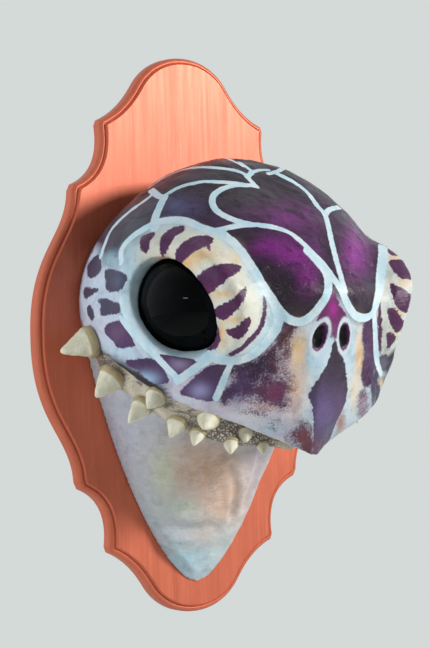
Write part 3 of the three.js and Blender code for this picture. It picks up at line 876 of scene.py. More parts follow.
# Sponged paint, dark over light: soft edge in pixels, thickness, outline. The sponge leaves it broken.
spongeColour = (0.042, 0.015, 0.055)
sponged = {
    "cheekMass": (11, 0.95, [
        (232, 365), (246, 361), (258, 353), (268, 343), (277, 331), (282, 322), (293, 323), (295, 332),
        (288, 346), (285, 360), (287, 375), (291, 390), (287, 404), (279, 411), (266, 406), (252, 400),
        (238, 403), (224, 401), (221, 394), (225, 384), (229, 374)]),
    "cheekTop": (5, 0.98, [
        (279, 322), (300, 322), (290, 336), (279, 352), (270, 362), (262, 354), (272, 342)]),
    "beakLeft": (9, 0.85, [
        (288, 434), (294, 424), (303, 418), (312, 426), (316, 440), (316, 458), (306, 458), (296, 446)]),
    "cheekLow": (11, 0.5, [(232, 405), (262, 408), (290, 420), (300, 436), (282, 432), (250, 420)]),
    "faceLow": (7, 0.46, [(288, 372), (296, 380), (297, 400), (292, 412), (286, 404), (287, 388)]),
    "rightPlum": (3, 1.25, [
        (366, 321), (376, 318), (377, 340), (375, 362), (372, 380), (366, 386), (362, 374), (363, 350),
        (363, 335)]),
    "rightMauve": (4, 0.7, [(358, 396), (366, 390), (371, 398), (368, 414), (361, 420), (356, 410)]),
    "fold": (2.5, 1.2, [(377, 360), (385, 355), (389, 362), (381, 372), (375, 380), (375, 368)]),
    "foldLow": (2, 1.1, [(372, 378), (379, 384), (381, 398), (378, 415), (373, 421), (371, 400)]),
    "tipRight": (3, 0.5, [(334, 428), (342, 412), (346, 420), (340, 436), (330, 448)]),
    "bridgeSpill": (4, 0.7, [
        (321, 320), (334, 314), (348, 319), (343, 329), (337, 337), (331, 336), (326, 328)]),
}
spongeDabs = {
    "violet": ((0.080, 0.040, 0.130), 0.7, (240, 385), (13, 12)),
    "night": ((0.022, 0.010, 0.030), 0.9, (260, 364), (18, 10)),
    "brown": ((0.080, 0.026, 0.030), 1.0, (286, 338), (12, 16)),
    "brownLow": ((0.130, 0.036, 0.046), 0.9, (283, 364), (10, 14)),
    "red": ((0.150, 0.024, 0.080), 1.0, (276, 392), (16, 13)),
    "mauve": ((0.200, 0.070, 0.110), 0.8, (252, 406), (18, 6)),
    "redTip": ((0.190, 0.055, 0.070), 1.0, (304, 440), (16, 18)),
    "brownFace": ((0.240, 0.110, 0.080), 0.9, (293, 395), (6, 16)),
    "plum": ((0.080, 0.028, 0.090), 0.8, (369, 345), (8, 30)),
    "pink": ((0.260, 0.120, 0.200), 1.0, (363, 405), (8, 14)),
    "grey": ((0.120, 0.120, 0.180), 1.0, (382, 364), (7, 10)),
    "greyLow": ((0.070, 0.075, 0.110), 1.0, (377, 398), (5, 22)),
    "redRight": ((0.300, 0.120, 0.090), 1.0, (340, 428), (8, 12)),
    "magenta": ((0.190, 0.024, 0.150), 1.0, (334, 324), (14, 14)),
}

# Changes of colour inside the patches.
patchDabs = {
    "cheekBlue": ((0.34, 0.52, 0.72), 0.95, (146, 379), (12, 7)),
    "cheekNight": ((0.045, 0.025, 0.070), 0.8, (146, 362), (16, 4)),
    "cheekMauve": ((0.33, 0.26, 0.42), 0.75, (180, 364), (10, 7)),
    "cheekPlum": ((0.075, 0.028, 0.090), 0.8, (150, 345), (9, 5)),
    "cheekLavender": ((0.36, 0.34, 0.60), 0.9, (200, 391), (10, 8)),
    "cheekDark": ((0.060, 0.025, 0.075), 0.8, (218, 371), (12, 6)),
    "templeMauve": ((0.16, 0.09, 0.17), 0.6, (118, 333), (9, 10)),
    "templeBlueInk": ((0.08, 0.11, 0.19), 0.7, (119, 281), (7, 7)),
    "beakViolet": ((0.115, 0.080, 0.210), 1.0, (325, 412), (16, 26)),
    "beakTip": ((0.105, 0.035, 0.085), 0.9, (318, 450), (10, 12)),
    "beakPlumSide": ((0.120, 0.055, 0.150), 0.6, (341, 400), (5, 16)),
    "bridgeGlow": ((0.40, 0.022, 0.30), 1.0, (333, 309), (4, 8)),
    "bridgeLow": ((0.22, 0.05, 0.19), 0.7, (333, 330), (4, 7)),
    "dashRed": ((0.16, 0.030, 0.11), 0.6, (200, 250), (8, 5)),
    "dashRedLow": ((0.15, 0.032, 0.11), 0.6, (214, 290), (9, 5)),
}

# The throat's washes, and painted shade: a grey band across its top as the jaw's shadow, and grey along its
# right crease where the skin turns aside.
throatDabs = {
    "lilacLeft": ((0.46, 0.46, 0.58), 0.8, (122, 430), (26, 50)),
    "blueLeft": ((0.42, 0.52, 0.58), 0.6, (148, 505), (20, 34)),
    # Painted shadow: a grey band just under the jaw's edge, where the jaw shades the throat.
    "paintedJawShadow": ((0.42, 0.38, 0.42), 0.5, (200, 428), (60, 10)),
    "tanMiddle": ((0.68, 0.42, 0.28), 1.0, (205, 470), (44, 34)),
    "tanRight": ((0.62, 0.38, 0.25), 0.8, (222, 502), (24, 26)),
    "tanLow": ((0.56, 0.40, 0.30), 0.6, (203, 538), (14, 10)),
    "yellowGreen": ((0.58, 0.70, 0.44), 0.55, (164, 474), (11, 26)),
    "greenLow": ((0.44, 0.60, 0.46), 0.5, (184, 507), (15, 11)),
    # Painted shade: grey along the right crease, where the throat turns aside from the light.
    "paintedCreaseShade": ((0.50, 0.43, 0.47), 0.8, (256, 462), (12, 34)),
    "blueLow": ((0.36, 0.60, 0.70), 0.9, (180, 562), (46, 20)),
    "greyGreenLow": ((0.44, 0.56, 0.52), 0.5, (228, 548), (16, 22)),
}
skullDark = (0.026, 0.016, 0.030)
napeColour = (0.055, 0.038, 0.062)
jawColour = (0.60, 0.54, 0.43)
throatColour = (0.50, 0.54, 0.58)

# Where the varnish is thick and glossy: place and spread in pixels.
thickVarnish = {
    "leftScute": ((285, 270), (34, 30)),
    "rightScute": ((355, 260), (20, 50)),
    "beak": ((330, 400), (18, 34)),
    "cheek": ((262, 366), (24, 18)),
}


# How far pixels are from a place, squared, with a spread counted as one.
def spreadsAway(pixels, place, spread):
    return (((pixels - np.array(place)) / np.array(spread)) ** 2).sum(1)


def varnishOver(pixels):
    gloss = np.zeros(len(pixels))
    for place, spread in thickVarnish.values():
        gloss = np.maximum(gloss, np.exp(-(spreadsAway(pixels, place, spread) ** 2)))
    return gloss


def dabOver(ground, pixels, dabs):
    for colour, strength, place, spread in dabs.values():
        share = (strength * np.exp(-spreadsAway(pixels, place, spread)))[:, None]
        ground = ground * (1 - share) + np.array(colour) * share
    return ground


# How far pixels lie inside an outline with a soft edge, from 0 to 1.
def softInside(pixels, outline, edge):
    share = np.zeros(len(pixels))
    curve = smoothLine(outline, closed=True)
    low, high = curve.min(0) - 4 * edge, curve.max(0) + 4 * edge
    near = np.flatnonzero(((pixels > low) & (pixels < high)).all(1))
    gap = gapTo(pixels[near], curve)
    gap = np.where(insideOutline(pixels[near], curve), -gap, gap)
    share[near] = np.clip(0.5 - gap / (2 * edge), 0, 1)
    return share


# How thickly the sponge covers each point.
def spongeCover(pixels):
    cover = np.zeros(len(pixels))
    for edge, thickness, outline in sponged.values():
        cover = np.maximum(cover, thickness * softInside(pixels, outline, edge))
    return cover


def plainCoat(colour, count):
    return np.tile(np.array(colour), (count, 1))


def paintGround(pixels):
    ground = plainCoat(skullDark, len(pixels))
    for colour, edge, outline in grounds.values():
        share = softInside(pixels, outline, edge)[:, None]
        ground = ground * (1 - share) + np.array(colour) * share
    return dabOver(ground, pixels, softDabs)


# The paint that the photograph shows, for points on the side that it shows: colours, how thick the sponge's
# paint and the varnish are, and distances to the nearest patch and the nearest line.
def paintSide(points):
    pixels = toPhoto(points)
    count = len(points)
    line = np.full(count, farOff)
    for width, places in paleLines.values():
        reach = paintReach(points, pixels, smoothLine(places), False)
        line = np.minimum(line, reach - lineWidth * width)
    patch = np.full(count, farOff)
    ink = plainCoat(inks["plum"], count)
    for inkName, outline in patches.values():
        reach = paintReach(points, pixels, smoothLine(outline, closed=True), True)
        nearer = reach < patch
        patch[nearer] = reach[nearer]
        ink[nearer] = inks[inkName]
    return {
        "ground": paintGround(pixels),
        "sponge": dabOver(plainCoat(spongeColour, count), pixels, spongeDabs),
        "cover": spongeCover(pixels),
        "ink": dabOver(ink, pixels, patchDabs),
        "patch": patch,
        "line": line,
        "varnish": varnishOver(pixels),
    }


# The nape's plain colour, and the cheek's below it, for the skin that the photograph hides on the right.
def napeGround(points):
    high = smoothStep(20 * mm, 70 * mm, points[:, 2])[:, None]
    return np.array(grounds["temple"][0]) * (1 - high) + np.array(napeColour) * high


# These lines lie behind the brows and high up, on either side.
def drawNapeLines(points, line):
    behind = np.flatnonzero((points[:, 1] > -135 * mm) & (points[:, 2] > 60 * mm))
    for width, places in napeLines.values():
        gap = gapTo(points[behind], fromAbove(smoothLine(places)))
        line[behind] = np.minimum(line[behind], gap - lineWidth * width)


# Distance from the nearer nostril's centre, with the nostril's own edge at 1.
def nostrilReach(points, most=4.0):
    reach = np.full(len(points), most)
    for side in (-1, 1):
        latitude, longitude = nostrilPlace(side)
        away = points - skinPoint(longitude, latitude)[0]
        turn = math.radians(side * nostril["turn"])
        across = away[:, 0] * math.cos(turn) - away[:, 2] * math.sin(turn)
        upward = away[:, 0] * math.sin(turn) + away[:, 2] * math.cos(turn)
        oval = np.sqrt((across / nostril["halfWidth"]) ** 2 + (upward / nostril["halfHeight"]) ** 2)
        near = np.linalg.norm(away, axis=1) < 3 * nostril["halfHeight"]
        reach = np.where(near, np.minimum(reach, oval), reach)
    return reach


def paintHead():
    points, normals = vertexPlaces(head), vertexNormals(head)
    sight = points - np.array(camera["place"])
    sight /= np.linalg.norm(sight, axis=1)[:, None]
    facing = -(normals * sight).sum(1)
    own, other = paintSide(points), paintSide(points * (-1, 1, 1))

    # Soft paint fades over from one side's to the other's, and patches and lines change at once.
    seen = smoothStep(0.0, 0.12, facing)
    unseen, hidden = 1 - seen, facing < 0.03
    left = smoothStep(-20 * mm, 20 * mm, points[:, 0])
    mirrored = other["ground"] * left[:, None] + napeGround(points) * (1 - left)[:, None]
    ground = own["ground"] * seen[:, None] + mirrored * unseen[:, None]
    sponge = own["sponge"] * seen[:, None] + other["sponge"] * unseen[:, None]
    cover = own["cover"] * seen + other["cover"] * left * unseen
    varnish = own["varnish"] * seen + other["varnish"] * unseen
    ink = np.where(hidden[:, None], other["ink"], own["ink"])
    onLeft = points[:, 0] >= 0
    patch = np.where(hidden, np.where(onLeft, other["patch"], farOff), own["patch"])
    line = np.where(hidden & onLeft, np.minimum(own["line"], other["line"]), own["line"])
    drawNapeLines(points, line)

    onJaw = readPaint(head, "jaw") > 0.5
    onThroat = readPaint(head, "throat") > 0.5
    bare = ~onJaw & ~onThroat
    throatGround = dabOver(plainCoat(throatColour, len(points)), toPhoto(points), throatDabs)
    lower = np.where(onThroat[:, None], throatGround, jawColour)
    setPaint(head, "ground", np.where(bare[:, None], ground, lower))
    setPaint(head, "pale", smoothStep(0.35, 0.6, ground[:, 1]) * bare)
    setPaint(head, "sponge", sponge)
    setPaint(head, "cover", np.where(bare, cover, -2))
    setPaint(head, "ink", ink)
    setPaint(head, "patch", np.where(bare, patch, farOff) / mm)
    setPaint(head, "line", np.where(bare, line, farOff) / mm)
    setPaint(head, "nostril", nostrilReach(points))
    setPaint(head, "varnish", varnish * bare)
    print("head painted")


paintHead()


# Small builders for node networks.
class Network:
    def __init__(self, name):
        self.material = bpy.data.materials.new(name)
        self.material.use_nodes = True
        self.nodes, self.links = self.material.node_tree.nodes, self.material.node_tree.links
        self.shader = self.nodes["Principled BSDF"]
        self.place = self.nodes.new("ShaderNodeTexCoord").outputs["Object"]

    # Links another node's output to a socket, or sets a number or a colour on it.
    def put(self, socket, value):
        if hasattr(value, "is_output"):
            self.links.new(value, socket)
        elif isinstance(value, tuple) and len(value) == 3 and len(socket.default_value) == 4:
            socket.default_value = (*value, 1)
        else:
            socket.default_value = value

    def noise(self, scale, detail=3.0, roughness=0.55, stretch=None, distortion=0.0):
        node = self.nodes.new("ShaderNodeTexNoise")
        node.inputs["Scale"].default_value = scale
        node.inputs["Detail"].default_value = detail
        node.inputs["Roughness"].default_value = roughness
        node.inputs["Distortion"].default_value = distortion
        if stretch:
            mapping = self.nodes.new("ShaderNodeMapping")
            mapping.inputs["Scale"].default_value = stretch
            self.links.new(self.place, mapping.inputs["Vector"])
            self.links.new(mapping.outputs["Vector"], node.inputs["Vector"])
        else:
            self.links.new(self.place, node.inputs["Vector"])
        return node.outputs["Fac"]

    # Distance to the nearest border between cells.
    def cells(self, scale):
        node = self.nodes.new("ShaderNodeTexVoronoi")
        node.feature = "DISTANCE_TO_EDGE"
        node.inputs["Scale"].default_value = scale
        self.links.new(self.place, node.inputs["Vector"])
        return node.outputs["Distance"]

    def math(self, operation, *values):
        node = self.nodes.new("ShaderNodeMath")
        node.operation = operation
        for socket, value in zip(node.inputs, values):
            self.put(socket, value)
        return node.outputs[0]

    def times(self, first, second):
        return self.math("MULTIPLY", first, second)

    def plus(self, first, second):
        return self.math("ADD", first, second)

    def minus(self, first, second):
        return self.math("SUBTRACT", first, second)

    # A smooth step from start to end, while the value goes from low to high.
    def spread(self, value, low, high, start=0.0, end=1.0):
        node = self.nodes.new("ShaderNodeMapRange")
        node.interpolation_type = "SMOOTHSTEP"
        for socket, number in zip(node.inputs, (value, low, high, start, end)):
            self.put(socket, number)
        return node.outputs[0]

    def mix(self, share, first, second, blend="MIX"):
        node = self.nodes.new("ShaderNodeMix")
        node.data_type = "RGBA"
        node.blend_type = blend
        self.put(node.inputs[0], share)
        self.put(node.inputs[6], first)
        self.put(node.inputs[7], second)
        return node.outputs[2]

    def layer(self, name, output="Fac"):
        node = self.nodes.new("ShaderNodeAttribute")
        node.attribute_name = name
        return node.outputs[output]

    def bump(self, height, distance, strength):
        node = self.nodes.new("ShaderNodeBump")
        node.inputs["Distance"].default_value = distance
        node.inputs["Strength"].default_value = strength
        self.put(node.inputs["Height"], height)
        return node.outputs["Normal"]


headPaint = {
    "lineColour": (0.50, 0.72, 0.82),
    "lineLight": (0.68, 0.80, 0.86),
    "lineDirt": (0.30, 0.36, 0.46),
    "dryBrush": (0.200, 0.120, 0.260),
    "brushMark": (0.30, 0.27, 0.38),
    "darkStroke": (0.014, 0.009, 0.018),
    "dirt": (0.05, 0.03, 0.07),
    "spongePale": (0.46, 0.36, 0.46),
    "inkPale": (0.22, 0.13, 0.26),
    "throatWash": (0.70, 0.68, 0.68),
    "edgeWander": 1.3,
    "jawSpeck": (0.045, 0.025, 0.040),
    "cream": (0.78, 0.70, 0.58),
    "paleBlue": (0.56, 0.70, 0.82),
    "nostrilColour": (0.012, 0.020, 0.016),
    "nostrilRing": (0.13, 0.03, 0.13),
    "nostrilRim": (0.60, 0.68, 0.74),
    "relief": 1.6 * mm,
    "gloss": 0.38,
}


# Soft ground, uneven in tone, with dry brush marks. Pale and dark paint each have their own.
def groundCoat(net, blotch, fleck, streak, onThroat):
    tone = net.mix(net.spread(blotch, 0.3, 0.7, 0.80, 1.20), (0, 0, 0), (1, 1, 1))
    ground = net.mix(1.0, net.layer("ground", "Color"), tone, "MULTIPLY")
    pale = net.layer("pale")
    dark = net.times(net.minus(1.0, onThroat), net.minus(1.0, pale))
    brushed = net.times(net.spread(streak, 0.58, 0.74, 0, 0.12), dark)
    ground = net.mix(brushed, ground, headPaint["brushMark"])
    stroke = net.noise(50, 5, 0.66, stretch=(1.3, 0.45, 1.7), distortion=1.6)
    stroked = net.times(net.spread(stroke, 0.50, 0.64, 0, 0.65), dark)
    ground = net.mix(stroked, ground, headPaint["darkStroke"])
    warm = net.times(net.spread(net.noise(120, 5, 0.75), 0.52, 0.66, 0, 0.40), pale)
    ground = net.mix(warm, ground, headPaint["cream"])
    cool = net.times(net.spread(net.noise(140, 5, 0.75, stretch=(1, 1, 1.3)), 0.52, 0.66, 0, 0.40), pale)
    ground = net.mix(cool, ground, headPaint["paleBlue"])
    dirt = net.times(net.spread(fleck, 0.60, 0.72, 0, 0.30), dark)
    ground = net.mix(dirt, ground, headPaint["dirt"])
    wash = net.noise(80, 6, 0.75, stretch=(0.6, 1, 1.5), distortion=1.4)
    washed = net.times(net.spread(wash, 0.42, 0.64, 0, 0.38), onThroat)
    return net.mix(washed, ground, headPaint["throatWash"])


# Sponged paint with a broken edge.
def spongeCoat(net, colour, blotch):
    broken = net.minus(net.plus(net.noise(620, 6, 0.8), blotch), 1.0)
    cover = net.layer("cover")
    cover = net.plus(cover, net.times(broken, net.spread(cover, 0.0, 0.35, 0, 2.2)))
    dry = net.spread(net.noise(190, 5, 0.8), 0.50, 0.68, 0, 0.38)
    sponge = net.mix(dry, net.layer("sponge", "Color"), headPaint["dryBrush"])
    speckle = net.spread(net.noise(900, 3, 0.8), 0.55, 0.78, 0, 0.35)
    sponge = net.mix(speckle, sponge, headPaint["spongePale"])
    return net.mix(net.spread(cover, 0.12, 0.84), colour, sponge)


# Patches and lines, with edges as ragged as a hand paints them.
def strokeCoat(net, colour, blotch, fleck, ragged):
    patch = net.plus(net.layer("patch"), net.times(ragged, 2.0))
    ink = net.mix(net.spread(fleck, 0.52, 0.72, 0, 0.30), net.layer("ink", "Color"), headPaint["inkPale"])
    colour = net.mix(net.spread(patch, 0.35, -0.35), colour, ink)
    line = net.plus(net.layer("line"), net.times(ragged, 0.6))
    pale = net.mix(net.spread(blotch, 0.35, 0.65), headPaint["lineColour"], headPaint["lineLight"])
    pale = net.mix(net.spread(fleck, 0.58, 0.74, 0, 0.45), pale, headPaint["lineDirt"])
    return net.mix(net.spread(line, 0.35, -0.35), colour, pale)


# Netted speckles on the jaw, and the nostrils' pale rims, purple rings and dark insides.
def detailCoat(net, colour, fray, ragged):
    crowd = net.spread(net.noise(26, 2, 0.5), 0.40, 0.62, -0.03, 0.13)
    netting = net.plus(net.cells(360), net.times(fray, 0.25))
    speck = net.times(net.layer("jaw"), net.spread(netting, net.plus(crowd, 0.07), crowd))
    colour = net.mix(net.times(speck, 0.8), colour, headPaint["jawSpeck"])
    pit = net.plus(net.layer("nostril"), net.times(ragged, 0.12))
    colour = net.mix(net.spread(pit, 1.9, 1.6), colour, headPaint["nostrilRim"])
    colour = net.mix(net.spread(pit, 1.35, 1.2), colour, headPaint["nostrilRing"])
    return net.mix(net.spread(pit, 1.08, 0.95), colour, headPaint["nostrilColour"])


def makeHeadPaint():
    net = Network("headPaint")
    wander = net.minus(net.noise(330, 3, 0.6), 0.5)
    fray = net.minus(net.noise(1100, 2, 0.6), 0.5)
    ragged = net.times(net.plus(wander, net.times(fray, 0.7)), 2 * headPaint["edgeWander"])
    blotch = net.noise(60, 5, 0.65)
    fleck = net.noise(430, 5, 0.75)
    streak = net.noise(70, 5, 0.7, stretch=(1, 1, 4), distortion=0.6)
    onThroat = net.layer("throat")
    varnish = net.layer("varnish")

    colour = groundCoat(net, blotch, fleck, streak, onThroat)
    colour = spongeCoat(net, colour, blotch)
    colour = strokeCoat(net, colour, blotch, fleck, ragged)
    colour = detailCoat(net, colour, fray, ragged)
    net.put(net.shader.inputs["Base Color"], colour)

    thick = net.times(varnish, net.spread(fleck, 0.45, 0.6, 0.12, 0.30))
    roughness = net.minus(net.spread(blotch, 0.3, 0.7, 0.28, 0.44), thick)
    roughness = net.plus(roughness, net.times(onThroat, 0.12))
    net.put(net.shader.inputs["Roughness"], roughness)
    net.shader.inputs["Specular IOR Level"].default_value = headPaint["gloss"]

    height = net.plus(net.times(net.noise(170, 6, 0.7), 0.7), net.times(streak, 0.45))
    wet = net.times(varnish, net.noise(95, 5, 0.7, distortion=0.8))
    height = net.plus(height, net.times(wet, 1.4))
    net.put(net.shader.inputs["Normal"], net.bump(height, headPaint["relief"], 0.6))
    return net.material


# Gives a piece its material, hides the imported node that it stands for, and attaches it to the root body.
def dress(obj, paint, node):
    obj.data.materials.clear()
    obj.data.materials.append(paint)
    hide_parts(node)
    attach(obj, "root")


dress(head, makeHeadPaint(), "head")


# Plaque: its outline's upper right quarter is curves that meet at the ear, the shoulder and the arch.
plaque = {
    "height": 501 * mm,
    "bellyHalfWidth": 158.9 * mm,
    "ear": (119 * mm, 134 * mm),
    "earStep": 6 * mm,
    "earNotch": 3 * mm,
    "shoulder": (89.5 * mm, 191.5 * mm),
    "shoulderStep": 5 * mm,
    "shoulderNotch": 2 * mm,
    "arch": (50 * mm, 224 * mm),
    "sideWall": 7.5 * mm,
    "ovolo": 4.2 * mm,
    "quirk": 0.9 * mm,
    "fillet": 1.4 * mm,
    "pointsPerCurve": 56,
    "paint": (0.68, 0.165, 0.085),
    "paintDeep": (0.50, 0.095, 0.045),
    "paintBright": (0.86, 0.30, 0.18),
    "paintWorn": (0.90, 0.88, 0.88),
    "metallic": 0.3,
}


# A curve from a to d that sets out towards b and comes in from c.
def curvePoints(a, b, c, d):
    t = np.linspace(0, 1, plaque["pointsPerCurve"], endpoint=False)[:, None]
    a, b, c, d = (np.array(corner) for corner in (a, b, c, d))
    return a * (1 - t) ** 3 + 3 * b * t * (1 - t) ** 2 + 3 * c * t**2 * (1 - t) + d * t**3


# The whole outline: the upper right quarter, mirrored twice.
def plaqueOutline():
    top, belly = plaque["height"] / 2, plaque["bellyHalfWidth"]
    (earX, earZ), (shoulderX, shoulderZ), (archX, archZ) = plaque["ear"], plaque["shoulder"], plaque["arch"]
    underEar, overEar = (earX, earZ - plaque["earStep"]), (earX - plaque["earNotch"], earZ)
    underShoulder = (shoulderX, shoulderZ - plaque["shoulderStep"])
    overShoulder = (shoulderX - plaque["shoulderNotch"], shoulderZ)
    quarter = np.concatenate([
        curvePoints((belly, 0), (belly + 1 * mm, earZ * 0.56), (earX + 2 * mm, earZ * 0.64), underEar),
        [underEar],
        curvePoints(overEar, (shoulderX + 6 * mm, earZ + 8 * mm), (shoulderX - 4 * mm, earZ + 25 * mm),
                    underShoulder),
        [underShoulder],
        curvePoints(overShoulder, (shoulderX - 21 * mm, shoulderZ + 8 * mm),
                    (archX + 8 * mm, archZ - 12 * mm), (archX, archZ)),
        curvePoints((archX, archZ), (archX - 10 * mm, archZ + 16 * mm), (archX - 28 * mm, top), (0, top)),
    ])
    upper = np.concatenate([quarter, [(0, top)], quarter[::-1] * (-1, 1)])
    return np.concatenate([upper, upper[-2:0:-1] * (1, -1)])


# Directions into the board, eased near the ears so that neighbours never cross.
def inwardDirections(outline, ease=7 * mm):
    along = np.roll(outline, -1, 0) - np.roll(outline, 1, 0)
    inward = np.stack([-along[:, 1], along[:, 0]], 1)
    inward /= np.linalg.norm(inward, axis=1)[:, None]
    gap = np.linalg.norm(outline[:, None] - outline[None], axis=2)
    weight = np.exp(-((gap / ease) ** 2)) * (gap < 3 * ease)
    for step in range(3):
        inward = weight @ inward
        inward /= np.linalg.norm(inward, axis=1)[:, None]
    return inward


# Height of the moulded edge at a distance inside the outline.
def edgeHeight(distance):
    radius, wall = plaque["ovolo"], plaque["sideWall"]
    turn = np.clip(distance / radius, 0, 1)
    height = wall + radius * np.sqrt(1 - (1 - turn) ** 2)
    groove = bump(distance - radius - plaque["quirk"] / 2, plaque["quirk"] / 2) * plaque["quirk"]
    rise = smoothStep(radius + 0.8 * plaque["quirk"], radius + plaque["quirk"] + plaque["fillet"], distance)
    return height - groove * (1 - rise) + (boardThickness - wall - radius) * rise


def makePlaque():
    outline = plaqueOutline()
    inward = inwardDirections(outline)
    reach = plaque["ovolo"] + plaque["quirk"] + plaque["fillet"] + 0.6 * mm
    backEdge = 0.5 * mm
    rings = []
    for inset, height in ((backEdge, 0), (0, backEdge), (0, plaque["sideWall"] * 0.6)):
        rings.append(np.column_stack([outline + inward * inset, np.full(len(outline), height)]))
    for share in np.linspace(0, 1, 26) ** 1.25:
        places = outline + inward * share * reach
        distance = np.minimum(gapTo(places, outline), share * reach)
        rings.append(np.column_stack([places, edgeHeight(distance)]))
    board = skinRings("copperBoard", [ring[:, (0, 2, 1)] * (1, -1, 1) for ring in rings])
    activate(board)
    bpy.ops.object.shade_smooth_by_angle(angle=math.radians(38))
    return board


def makeCopperPaint():
    net = Network("copperPaint")
    grain = net.noise(150, 6, 0.7, stretch=(1, 1, 0.035), distortion=0.3)
    fine = net.noise(620, 4, 0.7, stretch=(1, 1, 0.03))
    blotch = net.noise(9, 4, 0.6)
    colour = net.mix(net.spread(grain, 0.36, 0.62), plaque["paintDeep"], plaque["paint"])
    colour = net.mix(0.72, colour, plaque["paint"])
    colour = net.mix(net.spread(fine, 0.56, 0.72, 0, 0.30), colour, plaque["paintBright"])
    tone = net.mix(net.spread(blotch, 0.35, 0.65), plaque["paintWorn"], (1, 1, 1))
    net.put(net.shader.inputs["Base Color"], net.mix(1.0, colour, tone, "MULTIPLY"))
    net.shader.inputs["Metallic"].default_value = plaque["metallic"]
    net.put(net.shader.inputs["Roughness"], net.spread(grain, 0.3, 0.7, 0.36, 0.50))
    height = net.plus(net.times(fine, 0.35), net.times(grain, 0.65))
    net.put(net.shader.inputs["Normal"], net.bump(height, 0.35 * mm, 0.5))
    return net.material


dress(makePlaque(), makeCopperPaint(), "plaque")
print("plaque made")


# Eyes: blown glass balls with a sealed neck at the back, where the glue holds them.
def makeEye(name, side):
    outward = Vector(headDirection(side * eye["longitude"], eye["latitude"]))
    bpy.ops.mesh.primitive_uv_sphere_add(segments=128, ring_count=64, radius=eye["radius"])
    ball = bpy.context.object
    ball.name = ball.data.name = name
    bpy.ops.object.mode_set(mode="EDIT")
    bpy.ops.mesh.select_all(action="DESELECT")
    bpy.ops.object.mode_set(mode="OBJECT")
    for face in ball.data.polygons:
        face.select = face.center.z < -0.985 * eye["radius"]
    bpy.ops.object.mode_set(mode="EDIT")
    bpy.ops.mesh.inset(thickness=1.5 * mm)
    bpy.ops.transform.translate(value=(0, 0, 1.2 * mm))
    bpy.ops.mesh.inset(thickness=1.0 * mm)
    bpy.ops.object.mode_set(mode="OBJECT")
    plant(ball, eyeCentre(side), outward)
    makeNormalsOutward(ball)
    bpy.ops.object.shade_smooth()
    return ball


def makeBlackGlass():
    net = Network("blackGlass")
    smear = net.noise(28, 4, 0.6)
    colour = net.mix(net.spread(smear, 0.4, 0.7), eye["glass"], eye["glassPale"])
    net.put(net.shader.inputs["Base Color"], colour)
    net.put(net.shader.inputs["Roughness"], net.spread(smear, 0.35, 0.75, 0.03, 0.09))
    net.shader.inputs["Specular IOR Level"].default_value = eye["gloss"]
    return net.material


blackGlass = makeBlackGlass()
for name, node, side in (("eyeBallRight", "eye_right", -1), ("eyeBallLeft", "eye_left", 1)):
    dress(makeEye(name, side), blackGlass, node)
print("eyes made")

# Teeth: longitude, drop down the jaw, length, radius and dip of each, from the cheek to the front.
teeth = {
    "places": [
        (106, -0.2, 30, 13, 18), (96, 0.5, 26, 12, 44), (80, 0.82, 23, 9, 38), (71.5, 0.2, 16, 9, 36),
        (63, 0.75, 16, 8, 46), (55, 0.85, 13, 6.5, 46), (50, 0.2, 15, 9, 30), (41, 0.85, 12, 6.5, 46),
        (34, 0.35, 11, 6.5, 34), (23, 0.8, 9, 5, 46)],
    "onlyBehind": 66,
    "droopFrom": 90,
    "tucked": 0.72,
    "tuckedDip": 16,
    "sink": 3 * mm,
    "rough": 0.09,
    "roughSize": 7 * mm,
    "bend": 0.10,
    "clay": (0.66, 0.62, 0.46),
    "clayPale": (0.80, 0.77, 0.62),
    "grit": (0.30, 0.26, 0.16),
    "glue": (0.36, 0.26, 0.10),
    "glueBand": (0.24, 0.36),
}


# One tooth of unit radius and length, drawn up from a disc ring by ring.
def makeToothForm():
    height, radius = 0.0, 1.02
    profile = [(0.10, 1.10), (0.20, 1.14), (0.27, 1.02), (0.33, 0.92), (0.45, 0.80), (0.60, 0.62),
               (0.74, 0.46), (0.86, 0.31), (0.94, 0.19), (0.985, 0.09)]
    bpy.ops.mesh.primitive_circle_add(vertices=28, radius=radius, fill_type="NGON")
    form = bpy.context.object
    bpy.ops.object.mode_set(mode="EDIT")
    for nextHeight, nextRadius in profile:
        bpy.ops.mesh.extrude_region_move(TRANSFORM_OT_translate={"value": (0, 0, nextHeight - height)})
        bpy.ops.transform.resize(value=(nextRadius / radius, nextRadius / radius, 1))
        height, radius = nextHeight, nextRadius
    bpy.ops.mesh.poke()
    bpy.ops.object.mode_set(mode="OBJECT")
    applyModifier(form, "SUBSURF", levels=1, render_levels=1)
    makeNormalsOutward(form)
    return form


def makeTooth(form, name, side, row):
    longitude, drop, length, radius, dip = row
    turn = side * longitude
    if side > 0 and longitude < teeth["droopFrom"]:
        length, dip = length * teeth["tucked"], dip + teeth["tuckedDip"]
    if drop < 0:
        root = bitePoint(turn, -drop * jaw["drop"])[0]
    else:
        root = jawPoint(np.array([float(turn)]), drop)[0]
    outward = Vector(headDirection(turn, -dip))
    tooth = form.copy()
    tooth.data = form.data.copy()
    bpy.context.collection.objects.link(tooth)
    tooth.name = tooth.data.name = name
    places = vertexPlaces(tooth)
    setPaint(tooth, "glue", 1 - smoothStep(*teeth["glueBand"], places[:, 2]))
    length, radius = length * mm + teeth["sink"], radius * mm
    seed = Vector((longitude, side, dip))
    for i, (x, y, z) in enumerate(places):
        near = Vector((x * radius, y * radius, z * length)) / teeth["roughSize"] + seed
        swell = 1 + teeth["rough"] * (noise.noise(near) + 0.5 * noise.noise(near * 2.7))
        lean = 3 * teeth["bend"] * z * z * noise.noise(seed * 1.7)
        places[i] = ((x * swell + lean) * radius, y * swell * radius, 0.995 * z * length - teeth["sink"])
    setVertexPlaces(tooth, places)
    plant(tooth, root, outward)
    activate(tooth)
    bpy.ops.object.shade_smooth()
    return tooth


